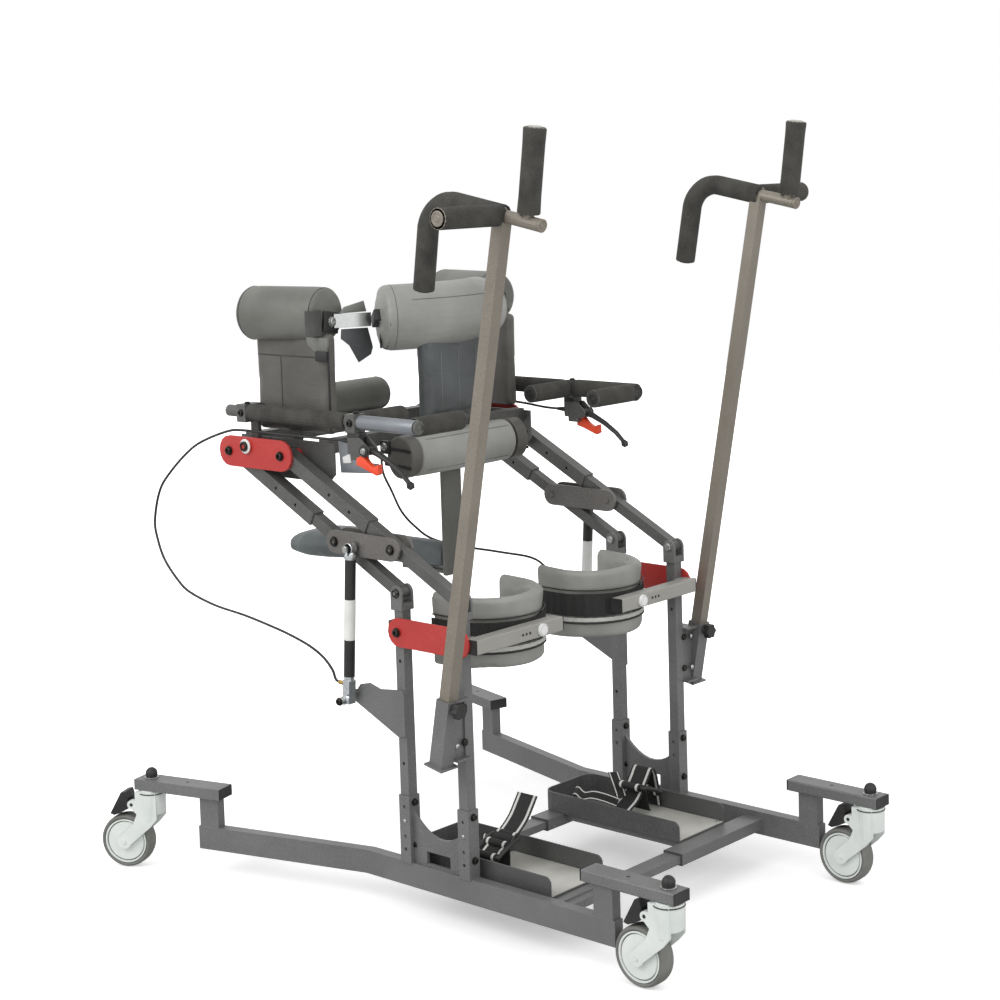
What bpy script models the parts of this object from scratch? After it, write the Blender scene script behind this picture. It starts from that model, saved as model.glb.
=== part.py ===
"""Manual stander: a wheeled sit-to-stand frame with two lifting parallelograms.

Metres, +Z up.  +X is the way the user faces, +Y is the user's left.  The
origin lies on the floor below the middle of the frame.  Every piece of a
side is drawn for the user's right (negative Y) and mirrored for the left.
"""
import math

import bpy
import bmesh
from mathutils import Matrix, Vector

for old in list(bpy.data.objects):
    bpy.data.objects.remove(old, do_unlink=True)

# Clearances between pieces
GAP = 0.0003
RUNNING = 0.0005

# How far the drawing is moved forward to bring its middle over the origin
MIDDLE_X = 0.0281

# Base frame: two kinked rails, each with a raised bar over its castors
RAIL_Y = 0.2865
RAIL_W = 0.020
RAIL_H = 0.0425
RAIL_TOP = 0.0940
KINK_X = -0.100
SPLAY = math.radians(15.0)
FRONT_END_X = 0.470
REAR_RUN = 0.362
END_POST = 0.040
END_INSET = 0.004
CASTOR_BAR_L = 0.190
CASTOR_BAR_W = 0.040
CASTOR_BAR_H = 0.020
CASTOR_BAR_Z = 0.150
FRONT_STEM_X = 0.573
REAR_STEM_RUN = 0.472
STEM_INSET = 0.025
STEM_NUT_R = 0.0105
STEM_NUT_H = 0.014

# Castors
WHEEL_R = 0.050
WHEEL_W = 0.031
AXLE_R = 0.0045
TRAIL = 0.052
FORK_T = 0.004
HUB_R = 0.0255
CROWN_Z = 0.1045
PEDAL_W = 0.032

# Leg posts, telescoping in sleeves on the rail
REAR_POST_X = 0.003
POST_PITCH = 0.140
TUBE = 0.020
SLEEVE = 0.025
SLEEVE_TOP = 0.212
HOLE_R = 0.0032
HOLE_PITCH = 0.025
HOLE_Z0 = 0.117
KNEE_Z = 0.567
CHEEK_T = 0.004
PIN_R = 0.0045
PIN_HEAD_R = 0.0075
GUSSET_T = 0.006

# Cross bars: the right half slides in the left half
FRONT_CROSS_X = 0.324
REAR_CROSS_X = 0.010
CROSS_W = 0.034
CROSS_H = 0.014
CROSS_SLEEVE_T = 0.003
CROSS_Z = 0.065
CROSS_JOINT_Y = 0.037

# Foot trays
TRAY_L = 0.324
TRAY_W = 0.134
TRAY_H = 0.037
TRAY_T = 0.0025
TRAY_BACK_X = -0.020
TRAY_Y_RIGHT = -0.1950
TRAY_Y_LEFT = 0.1480
TRAY_CORNER = 0.012
HEEL_R = 0.022
CARRIER_W = 0.118
CARRIER_T = 0.012
STRAP_W = 0.038
STRAP_T = 0.003
STRAP_RISE = 0.075
STRAP_X = 0.115

# Thigh arms: a lifting parallelogram on each side
ARM_Y = RAIL_Y
ARM_L = 0.471
ARM_ANGLE = math.radians(27.15)
ARM_SLEEVE_START = 0.235
MID_S = 0.164
LINK_T = 0.005
LINK_R = 0.0205
HIP_R = 0.028
WASHER_R = 0.009

# Gas springs
GAS_Y = 0.3165
GAS_R = 0.0098
GAS_BODY_L = 0.210
GAS_ROD_R = 0.0042
GAS_EYE = (0.054, -0.004)
GAS_FOOT = (-0.107, 0.372)
GAS_HEAD = 0.018

# Lower brace plate between the two posts
BRACE_Z = 0.499
BRACE_R = 0.025
BRACE_T = 0.004

# Knee supports
KNEE_BAR_Z = 0.496
KNEE_SPACER = 0.009
KNEE_BAR_IN = 0.080
KNEE_BAR_OUT = RAIL_Y + TUBE / 2
KNEE_CUP_Y = 0.136
KNEE_CUP_R = 0.095
KNEE_CUP_Z = 0.430
KNEE_CUP_H = 0.130
KNEE_PAD_T = 0.024
KNEE_SIDE = 0.050
KNEE_SHELL_T = 0.003
KNEE_SHELL_Z = 0.473
KNEE_SHELL_H = 0.040

# Handle posts
HANDLE_Y = 0.3395
HANDLE_TILT = math.radians(11.0)
HANDLE_FOOT_X = 0.1375
HANDLE_FOOT_Z = 0.302
HANDLE_TOP_Z = 1.212
HANDLE_TUBE = 0.022
SOCKET_L = 0.115
SOCKET_T = 0.003
FOAM_R = 0.0172
GRIP_TUBE_R = 0.0105

# Carriage
PLATE_Y = 0.258
PLATE_T = 0.004
BAR_Y = 0.285
BAR_Z = 0.853
BAR_R = 0.011
BAR_FOAM_R = 0.0155
SEAT_POST_X = -0.154
SEAT_POST = 0.048
SEAT_POST_T = 0.011
SEAT_POST_FOOT = 0.530
SEAT_POST_TOP = 0.800
CROSS_TUBE = 0.025
CHEST_X = -0.155
CHEST_Z = 1.018
CHEST_HALF = 0.130
CHEST_BACK = 0.036
CHEST_R = 0.064
CHEST_PANEL_W = 0.176
CHEST_PANEL_T = 0.030
LATERAL_R = 0.053
LATERAL_Z = 1.0305
LATERAL_PANEL_T = 0.028
BOLSTER_X = -0.128
BOLSTER_Z = 0.771
BOLSTER_RX = 0.038
BOLSTER_RZ = 0.0435
BOLSTER_HALF = 0.126
REAR_PAD_R = 0.0355
GRIP_REACH = {"right": 0.054, "left": 0.066}
GRIP_LIFT = {"right": 0.0, "left": 0.010}
GRIP_BACK = {"right": 0.103, "left": 0.091}
GRIP_LEAN = {"right": 0.15, "left": 0.19}
GRIP_DROP = 0.105
GRIP_STAND = {"right": (0.013, 0.147), "left": (0.013, 0.143)}
GRIP_BEND = 0.055
STUB_L = 0.083
GRIP_OUT = 0.140

SIDES = ("right", "left")


def material(name, colour, rough, metal=0.0):
    mat = bpy.data.materials.new(name)
    mat.use_nodes = True
    shader = mat.node_tree.nodes["Principled BSDF"]
    shader.inputs["Base Color"].default_value = (*colour, 1.0)
    shader.inputs["Roughness"].default_value = rough
    shader.inputs["Metallic"].default_value = metal
    mat.diffuse_color = (*colour, 1.0)
    return mat


STEEL_GREY = material("painted_steel_grey", (0.105, 0.100, 0.093), 0.42, 0.35)
POST_BROWN = material("painted_steel_brown", (0.195, 0.165, 0.150), 0.38, 0.35)
PLATE_RED = material("painted_plate_red", (0.475, 0.040, 0.036), 0.45)
SHEET_DARK = material("coated_sheet_dark", (0.070, 0.075, 0.080), 0.55, 0.2)
VINYL_GREY = material("padded_vinyl_grey", (0.205, 0.215, 0.205), 0.62)
FOAM_BLACK = material("foam_black", (0.040, 0.038, 0.036), 0.85)
PLASTIC_PALE = material("castor_plastic_pale", (0.745, 0.800, 0.770), 0.40)
TYRE_GREY = material("castor_tyre_grey", (0.150, 0.150, 0.155), 0.60)
PLASTIC_BLACK = material("plastic_black", (0.018, 0.018, 0.020), 0.45)
CHROME = material("bright_chrome", (0.720, 0.720, 0.730), 0.16, 1.0)
KNEE_GREY = material("knee_bar_grey", (0.290, 0.280, 0.265), 0.45, 0.3)
WEBBING = material("webbing_black", (0.022, 0.022, 0.024), 0.80)


def solid(bm):
    """Turn a bmesh into a closed solid object with its faces pointing out."""
    bm.normal_update()
    bmesh.ops.recalc_face_normals(bm, faces=bm.faces)
    if bm.calc_volume(signed=True) < 0:
        bmesh.ops.reverse_faces(bm, faces=bm.faces)
    mesh = bpy.data.meshes.new("blank")
    bm.to_mesh(mesh)
    bm.free()
    obj = bpy.data.objects.new("blank", mesh)
    bpy.context.scene.collection.objects.link(obj)
    return obj


def block(x, y, z, bevel=0.0):
    """A box from its (low, high) limits along each axis."""
    bm = bmesh.new()
    bmesh.ops.create_cube(bm, size=1.0)
    for vert in bm.verts:
        for axis, (low, high) in enumerate((x, y, z)):
            vert.co[axis] = low if vert.co[axis] < 0 else high
    if bevel > 0:
        bmesh.ops.bevel(bm, geom=bm.edges[:], offset=bevel, segments=1, affect="EDGES")
    return solid(bm)


def centred(x, y, z, size, bevel=0.0):
    """A box from its centre and its three sizes."""
    limits = [(c - s / 2, c + s / 2) for c, s in zip((x, y, z), size)]
    return block(*limits, bevel=bevel)


def extrude(outline, low, high, axis):
    """A plate: an outline in the plane square to the axis, from low to high."""
    bm = bmesh.new()
    places = {"X": lambda a, b: (low, a, b), "Y": lambda a, b: (a, low, b), "Z": lambda a, b: (a, b, low)}
    step = {"X": (high - low, 0, 0), "Y": (0, high - low, 0), "Z": (0, 0, high - low)}[axis]
    ring = [bm.verts.new(places[axis](a, b)) for a, b in outline]
    face = bm.faces.new(ring)
    grown = bmesh.ops.extrude_face_region(bm, geom=[face])
    moved = [g for g in grown["geom"] if isinstance(g, bmesh.types.BMVert)]
    bmesh.ops.translate(bm, verts=moved, vec=step)
    return solid(bm)


def arc(centre, radius, start, end, steps):
    """Points along an arc, angles in degrees."""
    points = []
    for i in range(steps + 1):
        angle = math.radians(start + (end - start) * i / steps)
        points.append((centre[0] + radius * math.cos(angle), centre[1] + radius * math.sin(angle)))
    return points


def stadium(a, b, radius, steps=8):
    """The outline of a link plate with round ends about points a and b."""
    turn = math.degrees(math.atan2(b[1] - a[1], b[0] - a[0]))
    outline = arc(b, radius, turn - 90, turn + 90, steps)
    return outline + arc(a, radius, turn + 90, turn + 270, steps)


def rod(start, end, radius, sides=16, end_radius=None):
    """A round bar between two points, tapered where end_radius is given."""
    start, end = Vector(start), Vector(end)
    bm = bmesh.new()
    tip = radius if end_radius is None else end_radius
    bmesh.ops.create_cone(bm, cap_ends=True, segments=sides, radius1=radius, radius2=tip,
                          depth=(end - start).length)
    turn = (end - start).to_track_quat("Z", "Y").to_matrix().to_4x4()
    bm.transform(Matrix.Translation((start + end) / 2) @ turn)
    return solid(bm)


def beam(start, end, width, height, rise=(0, 0, 1)):
    """A square bar between two points: width across, height along rise."""
    start, end, rise = Vector(start), Vector(end), Vector(rise)
    along = (end - start).normalized()
    across = rise.cross(along).normalized()
    up = along.cross(across)
    bm = bmesh.new()
    bmesh.ops.create_cube(bm, size=1.0)
    size = Matrix.Diagonal(((end - start).length, width, height, 1.0))
    turn = Matrix((along, across, up)).transposed().to_4x4()
    bm.transform(Matrix.Translation((start + end) / 2) @ turn @ size)
    return solid(bm)


def turned(profile, centre, axis="Y", steps=24):
    """A body of revolution: profile is (distance along the axis, radius)."""
    bm = bmesh.new()
    rings = []
    for i in range(steps):
        angle = 2 * math.pi * i / steps
        c, s = math.cos(angle), math.sin(angle)
        ring = []
        for along, radius in profile:
            place = {"X": (along, radius * c, radius * s), "Y": (radius * c, along, radius * s),
                     "Z": (radius * c, radius * s, along)}[axis]
            ring.append(bm.verts.new(Vector(centre) + Vector(place)))
        rings.append(ring)
    count = len(profile)
    for i in range(steps):
        here, after = rings[i], rings[(i + 1) % steps]
        for k in range(count):
            j = (k + 1) % count
            bm.faces.new((here[k], here[j], after[j], after[k]))
    return solid(bm)


def swept(path, radii, sides=12, side_axis=(0, 1, 0)):
    """A tube with closed ends along a path, with a radius at each point."""
    bm = bmesh.new()
    path = [Vector(p) for p in path]
    rings = []
    for i, point in enumerate(path):
        ahead = path[min(i + 1, len(path) - 1)] - path[max(i - 1, 0)]
        tangent = ahead.normalized()
        first = Vector(side_axis)
        first = (first - tangent * first.dot(tangent)).normalized()
        second = tangent.cross(first)
        ring = []
        for k in range(sides):
            angle = 2 * math.pi * k / sides
            offset = first * math.cos(angle) + second * math.sin(angle)
            ring.append(bm.verts.new(point + offset * radii[i]))
        rings.append(ring)
    for here, after in zip(rings, rings[1:]):
        for k in range(sides):
            j = (k + 1) % sides
            bm.faces.new((here[k], here[j], after[j], after[k]))
    bm.faces.new(rings[0])
    bm.faces.new(rings[-1])
    return solid(bm)


def roll(start, end, radius, sides=24, bow=(0, 0, 0), stations=5, crown=0.010):
    """A padded roll: drawn in at its domed ends, bowed sideways at the middle."""
    start, end, bow = Vector(start), Vector(end), Vector(bow)
    length = (end - start).length
    marks = [(0.0, 0.80), (crown * 0.35, 0.93), (crown, 0.985)]
    marks += [(crown + (length - 2 * crown) * i / stations, 1.0) for i in range(1, stations)]
    marks += [(length - crown, 0.985), (length - crown * 0.35, 0.93), (length, 0.80)]
    path, radii = [], []
    for along, share in marks:
        t = along / length
        path.append(start.lerp(end, t) + bow * (4 * t * (1 - t)))
        swell = 1.0 + 0.015 * math.sin(math.pi * t)
        radii.append(radius * share * swell)
    return swept(path, radii, sides, side_axis=(0, 0, 1))


def boolean(body, other, operation):
    cut = body.modifiers.new(operation.lower(), "BOOLEAN")
    cut.operation = operation
    cut.solver = "EXACT"
    cut.object = other


def fuse(name, mat, adds, cuts=(), origin=(0, 0, 0), side="right", parent=None):
    """Weld the solids of one piece together, cut it, and place it at its origin."""
    body = adds[0]
    for other in adds[1:]:
        boolean(body, other, "UNION")
    for other in cuts:
        boolean(body, other, "DIFFERENCE")
    graph = bpy.context.evaluated_depsgraph_get()
    mesh = bpy.data.meshes.new_from_object(body.evaluated_get(graph))
    for used in [*adds, *cuts]:
        bpy.data.objects.remove(used, do_unlink=True)
    if side == "left":
        mesh.transform(Matrix.Diagonal((1, -1, 1, 1)))
        mesh.flip_normals()
    origin = Vector(origin)
    if side == "left":
        origin.y = -origin.y
    if parent is not None:
        mesh.transform(Matrix.Translation(CARRIAGE_STEP))
        origin = origin + CARRIAGE_STEP
    mesh.transform(Matrix.Translation(-origin))
    mesh.materials.clear()
    mesh.materials.append(mat)
    mesh.shade_smooth()
    mesh.set_sharp_from_angle(angle=math.radians(34))
    mesh.name = name
    obj = bpy.data.objects.new(name, mesh)
    bpy.context.scene.collection.objects.link(obj)
    obj.location = origin
    if parent is not None:
        obj.parent = parent
        obj.location = origin - parent.location
    return obj


def pivot(name, place):
    """An empty that stands on a joint's axis and carries the moving pieces."""
    empty = bpy.data.objects.new(name, None)
    empty.location = place
    empty.empty_display_size = 0.05
    bpy.context.scene.collection.objects.link(empty)
    return empty


# Places that several pieces share
FRONT_POST_X = REAR_POST_X + POST_PITCH
RAIL_BOTTOM = RAIL_TOP - RAIL_H
OUT = -1
RAIL_DIR = Vector((-math.cos(SPLAY), -math.sin(SPLAY), 0))
KINK = Vector((KINK_X, -RAIL_Y, 0))
REAR_END = KINK + RAIL_DIR * REAR_RUN
REAR_STEM = KINK + RAIL_DIR * REAR_STEM_RUN
FRONT_STEM = Vector((FRONT_STEM_X, -RAIL_Y, 0))
KNEES = {"rear": Vector((REAR_POST_X, -ARM_Y, KNEE_Z)), "front": Vector((FRONT_POST_X, -ARM_Y, KNEE_Z))}
ARM_DIR = Vector((-math.cos(ARM_ANGLE), 0, math.sin(ARM_ANGLE)))
MIDS = {k: v + ARM_DIR * MID_S for k, v in KNEES.items()}
HIPS = {k: v + ARM_DIR * ARM_L for k, v in KNEES.items()}
# The carriage is drawn about this hip pivot, and goes along with the hips if the arms change
CARRIAGE_HOME = Vector((-0.416104, 0, 0.781927))
CARRIAGE_STEP = Vector((HIPS["rear"].x, 0, HIPS["rear"].z)) - CARRIAGE_HOME
PLATE_IN = SLEEVE / 2 + RUNNING
BAR_TOP = CASTOR_BAR_Z + CASTOR_BAR_H


def lift(vec, z):
    return (vec.x, vec.y, z)


def frame_half(side):
    """Rail, end posts, castor bars, leg sleeves, gusset and half of each cross bar."""
    mid_z = (RAIL_TOP + RAIL_BOTTOM) / 2
    turn = RAIL_W / 2 * math.tan(SPLAY / 2)
    outline = [
        (FRONT_END_X, -RAIL_Y - RAIL_W / 2), (FRONT_END_X, -RAIL_Y + RAIL_W / 2),
        (KINK_X + turn, -RAIL_Y + RAIL_W / 2)]
    back = Vector((-RAIL_DIR.y, RAIL_DIR.x, 0)) * RAIL_W / 2
    outline += [(REAR_END.x - back.x, REAR_END.y - back.y), (REAR_END.x + back.x, REAR_END.y + back.y)]
    outline += [(KINK_X - turn, -RAIL_Y - RAIL_W / 2)]
    adds = [extrude(outline, RAIL_BOTTOM, RAIL_TOP, "Z")]
    post_mid = CASTOR_BAR_Z + CASTOR_BAR_H / 2
    post_x = FRONT_END_X - END_INSET
    adds.append(block((post_x - END_POST, post_x),
                      (-RAIL_Y - RAIL_W / 2 + 0.0002, -RAIL_Y + RAIL_W / 2 - 0.0002),
                      (RAIL_BOTTOM + 0.010, post_mid)))
    post_end = REAR_END - RAIL_DIR * END_INSET
    middle = (RAIL_BOTTOM + 0.010 + post_mid) / 2
    adds.append(beam(lift(post_end - RAIL_DIR * END_POST, middle), lift(post_end, middle),
                     RAIL_W - 0.0004, post_mid - RAIL_BOTTOM - 0.010))
    front_tip = FRONT_STEM_X + STEM_INSET
    adds.append(block((front_tip - CASTOR_BAR_L, front_tip),
                      (-RAIL_Y - CASTOR_BAR_W / 2, -RAIL_Y + CASTOR_BAR_W / 2),
                      (CASTOR_BAR_Z, BAR_TOP), bevel=0.002))
    rear_tip = REAR_STEM + RAIL_DIR * STEM_INSET
    adds.append(beam(lift(rear_tip - RAIL_DIR * CASTOR_BAR_L, post_mid), lift(rear_tip, post_mid),
                     CASTOR_BAR_W, CASTOR_BAR_H))
    for stem in (FRONT_STEM, REAR_STEM):
        dome = [(-0.002, 0.0), (-0.002, STEM_NUT_R), (STEM_NUT_H * 0.45, STEM_NUT_R),
                (STEM_NUT_H * 0.85, STEM_NUT_R * 0.62), (STEM_NUT_H, 0.0)]
        adds.append(dome_body(dome, lift(stem, BAR_TOP)))
    cuts = []
    for x in (REAR_POST_X, FRONT_POST_X):
        adds.append(centred(x, -RAIL_Y, (RAIL_TOP - 0.002 + SLEEVE_TOP) / 2,
                            (SLEEVE, SLEEVE, SLEEVE_TOP - RAIL_TOP + 0.002)))
        bore = TUBE + 2 * GAP
        cuts.append(block((x - bore / 2, x + bore / 2), (-RAIL_Y - bore / 2, -RAIL_Y + bore / 2),
                          (HOLE_Z0 + HOLE_PITCH / 2, SLEEVE_TOP + 0.01)))
        for k in (2, 3):
            z = HOLE_Z0 + HOLE_PITCH * k
            cuts.append(rod((x, -RAIL_Y - SLEEVE, z), (x, -RAIL_Y + SLEEVE, z), HOLE_R, 10))
        for k in (0, 1):
            z = HOLE_Z0 + HOLE_PITCH * k - 0.0021 * k
            cuts.append(rod((x, -RAIL_Y - SLEEVE, z), (x, -RAIL_Y - SLEEVE / 4, z), HOLE_R, 10))
    left_x = REAR_POST_X + SLEEVE / 2 - 0.002
    right_x = FRONT_POST_X - SLEEVE / 2 + 0.002
    middle = (left_x + right_x) / 2
    half = (right_x - left_x) / 2
    outline = [(left_x, RAIL_TOP - 0.002), (right_x, RAIL_TOP - 0.002), (right_x, 0.160)]
    steps = 8
    for i in range(steps + 1):
        t = 1 - 2 * i / steps
        outline.append((middle + half * 0.94 * t, 0.146 + 0.026 * t * t - 0.008 * t))
    outline.append((left_x, 0.183))
    adds.append(extrude(outline, -RAIL_Y - GUSSET_T / 2, -RAIL_Y + GUSSET_T / 2, "Y"))
    cuts.append(block((middle - 0.028, middle + 0.028), (-RAIL_Y - 0.02, -RAIL_Y + 0.02),
                      (RAIL_TOP + 0.003, RAIL_TOP + 0.025)))
    inner = -RAIL_Y + RAIL_W / 2 - 0.002
    tray_y = TRAY_Y_RIGHT if side == "right" else -TRAY_Y_LEFT
    for x in (FRONT_CROSS_X, REAR_CROSS_X):
        low = CROSS_Z
        if side == "right":
            adds.append(block((x - CROSS_W / 2, x + CROSS_W / 2), (inner, CROSS_JOINT_Y + 0.060),
                              (low, low + CROSS_H)))
        else:
            grow = CROSS_SLEEVE_T + GAP
            adds.append(block((x - CROSS_W / 2 - grow, x + CROSS_W / 2 + grow), (inner, -CROSS_JOINT_Y),
                              (low - grow, low + CROSS_H + grow)))
            cuts.append(block((x - CROSS_W / 2 - GAP, x + CROSS_W / 2 + GAP),
                              (-CROSS_JOINT_Y - 0.062, -CROSS_JOINT_Y + 0.01),
                              (low - GAP, low + CROSS_H + GAP)))
    carrier_top = TRAY_FLOOR - GAP
    adds.append(block((REAR_CROSS_X, FRONT_CROSS_X), (tray_y - CARRIER_W / 2, tray_y + CARRIER_W / 2),
                      (carrier_top - CARRIER_T, carrier_top)))
    return fuse("frame_" + side, STEEL_GREY, adds, cuts, side=side)


def dome_body(profile, place):
    """A domed cap: a profile of (height, radius) turned about a standing axis."""
    bm = bmesh.new()
    steps = 12
    rings = []
    foot = bm.verts.new(Vector(place) + Vector((0, 0, profile[0][0])))
    peak = bm.verts.new(Vector(place) + Vector((0, 0, profile[-1][0])))
    for height, radius in profile[1:-1]:
        ring = []
        for i in range(steps):
            angle = 2 * math.pi * i / steps
            ring.append(bm.verts.new(Vector(place) + Vector((radius * math.cos(angle),
                                                             radius * math.sin(angle), height))))
        rings.append(ring)
    for here, after in zip(rings, rings[1:]):
        for i in range(steps):
            j = (i + 1) % steps
            bm.faces.new((here[i], here[j], after[j], after[i]))
    for i in range(steps):
        j = (i + 1) % steps
        bm.faces.new((foot, rings[0][j], rings[0][i]))
        bm.faces.new((peak, rings[-1][i], rings[-1][j]))
    return solid(bm)


# Trays stand on the cross bars: the floor clears the left half's outer sleeve
TRAY_FLOOR = CROSS_Z + CROSS_H + CROSS_SLEEVE_T + 2 * GAP


def tray(side):
    """A folded sheet tray: floor, heel wall and two side walls with round front corners."""
    y = TRAY_Y_RIGHT if side == "right" else -TRAY_Y_LEFT
    x0, x1 = TRAY_BACK_X, TRAY_BACK_X + TRAY_L
    low, high = TRAY_FLOOR, TRAY_FLOOR + TRAY_H
    y0, y1 = y - TRAY_W / 2, y + TRAY_W / 2
    wall = [(x0, low), (x1, low)] + arc((x1 - TRAY_CORNER, high - TRAY_CORNER), TRAY_CORNER, 0, 90, 4)
    wall.append((x0, high))
    inside = HEEL_R - TRAY_T
    xc, ya, yb = x0 + HEEL_R, y0 + HEEL_R, y1 - HEEL_R
    plan = [(x1 + 0.01, y0 + TRAY_T), (x1 + 0.01, y1 - TRAY_T)]
    plan += arc((xc, yb), inside, 90, 180, 3) + arc((xc, ya), inside, 180, 270, 3)
    cuts = [extrude(plan, low + TRAY_T, high + 0.01, "Z")]
    for centre_y, first, edge in ((ya, 180, y0), (yb, 90, y1)):
        away = edge - 0.01 if first == 180 else edge + 0.01
        corner = arc((xc, centre_y), HEEL_R, first, first + 90, 3)
        tips = [(xc, away), (x0 - 0.01, away), (x0 - 0.01, centre_y)]
        cuts.append(extrude(corner + (tips if first == 180 else tips[::-1]), low - 0.01, high + 0.02, "Z"))
    return fuse("tray_" + side, SHEET_DARK, [extrude(wall, y0, y1, "Y")], cuts, side=side)


def foot_strap(side):
    """A webbing loop over the foot, with its buckle, standing between the tray walls."""
    y = TRAY_Y_RIGHT if side == "right" else -TRAY_Y_LEFT
    half = TRAY_W / 2 - TRAY_T - GAP
    base = TRAY_FLOOR + TRAY_T + GAP
    outer, inner = [], []
    steps = 12
    for i in range(steps + 1):
        angle = math.pi * i / steps
        for ring, grow in ((outer, 0.0), (inner, STRAP_T)):
            across = (half - grow) * math.cos(angle)
            up = (STRAP_RISE - grow) * math.sin(angle) ** 0.8
            ring.append((y + across, base + up))
    adds = [extrude(outer + inner[::-1], STRAP_X, STRAP_X + STRAP_W, "X")]
    top = base + STRAP_RISE
    adds.append(block((STRAP_X - 0.004, STRAP_X + STRAP_W + 0.004), (y - 0.030, y + 0.012),
                      (top - 0.008, top + 0.004), bevel=0.002))
    return fuse("foot_strap_" + side, WEBBING, adds, side=side)


PEDAL_PIN = (-0.034, 0.122)
PIN_BORE = 0.003


def castor(corner, side):
    """A swivel fork, its wheel and its brake pedal at one corner of the base."""
    stem = FRONT_STEM if corner == "front" else REAR_STEM
    trail_dir = Vector((-1, 0, 0))
    if corner == "rear":
        trail_dir = Vector((-math.cos(math.radians(26)), -math.sin(math.radians(26)), 0))
    turn = Matrix.Translation((stem.x, stem.y, 0)) @ Vector((-1, 0, 0)).rotation_difference(
        trail_dir).to_matrix().to_4x4()
    name = corner + "_" + side
    top = CASTOR_BAR_Z - GAP
    half = WHEEL_W / 2 + 0.0015
    pin_x, pin_z = PEDAL_PIN
    cheek = [(0.012, top - 0.003), (-0.026, top - 0.003), (-0.026, pin_z + 0.0085)]
    cheek += arc(PEDAL_PIN, 0.0085, 90, 270, 6)
    cheek += [(-0.024, CROWN_Z), (-0.032, 0.086)]
    cheek += arc((-TRAIL, WHEEL_R), 0.0135, 150, 340, 8)
    cheek += [(0.002, 0.080), (0.016, 0.096), (0.016, top - 0.003)]
    fork = [extrude(cheek, -half - FORK_T, half + FORK_T, "Y")]
    fork.append(rod((0, 0, 0.092), (0, 0, top - 0.0015), HUB_R * 0.86, 20, HUB_R))
    fork.append(rod((0, 0, top - 0.004), (0, 0, top), HUB_R * 0.85, 20))
    axle = rod((-TRAIL, -half - FORK_T - 0.002, WHEEL_R), (-TRAIL, half + FORK_T + 0.002, WHEEL_R),
               AXLE_R - RUNNING, 12)
    slot = block((-0.2, 0.1), (-half, half), (-0.01, CROWN_Z))
    tongue_slot = block((-0.2, -0.0215), (-0.0105, 0.0105), (CROWN_Z - 0.01, 0.2))
    pin_bore = rod((pin_x, -0.03, pin_z), (pin_x, 0.03, pin_z), PIN_BORE + RUNNING, 10)
    shape(fork + [axle, slot, tongue_slot, pin_bore], turn)
    housing = fuse("fork_housing", PLASTIC_PALE, fork, [slot, tongue_slot, pin_bore])
    fuse("caster_fork_" + name, PLASTIC_PALE, [housing, axle], origin=lift(stem, WHEEL_R), side=side)
    rim = WHEEL_R
    profile = [(-WHEEL_W * 0.44, AXLE_R), (-WHEEL_W * 0.44, 0.0365), (-WHEEL_W * 0.36, 0.0375),
               (-WHEEL_W * 0.36, 0.0390), (-WHEEL_W / 2, 0.0405), (-WHEEL_W * 0.44, rim - 0.004),
               (-WHEEL_W * 0.25, rim), (WHEEL_W * 0.25, rim), (WHEEL_W * 0.44, rim - 0.004),
               (WHEEL_W / 2, 0.0405), (WHEEL_W * 0.36, 0.0390), (WHEEL_W * 0.36, 0.0375),
               (WHEEL_W * 0.44, 0.0365), (WHEEL_W * 0.44, AXLE_R)]
    wheel = turned(profile, (-TRAIL, 0, WHEEL_R), "Y", 24)
    shape([wheel], turn)
    hub = turn @ Vector((-TRAIL, 0, WHEEL_R))
    fuse("caster_wheel_" + name, TYRE_GREY, [wheel], origin=hub, side=side)
    plate = [(-0.0475, 0.1445), (-0.0440, 0.1320), (-0.0440, 0.1120), (-0.0600, 0.1035),
             (-0.0720, 0.0990), (-0.0805, 0.1015), (-0.0570, 0.1430)]
    pedal = [extrude(plate, -PEDAL_W / 2, PEDAL_W / 2, "Y")]
    tongue = [(-0.0460, pin_z + 0.0055), (pin_x, pin_z + 0.0055), (pin_x, pin_z - 0.0055),
              (-0.0460, pin_z - 0.0055)]
    pedal.append(extrude(tongue, -0.0100, 0.0100, "Y"))
    pedal.append(rod((pin_x, -0.0099, pin_z), (pin_x, 0.0099, pin_z), 0.0062, 12))
    pedal.append(rod((pin_x, -half - FORK_T, pin_z), (pin_x, half + FORK_T, pin_z), PIN_BORE, 10))
    shape(pedal, turn)
    axis = turn @ Vector((pin_x, 0, pin_z))
    fuse("caster_pedal_" + name, PLASTIC_BLACK, pedal, origin=axis, side=side)


def shape(solids, matrix):
    """Move drawn solids by a matrix, on their mesh."""
    for obj in solids:
        obj.data.transform(matrix)


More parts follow.
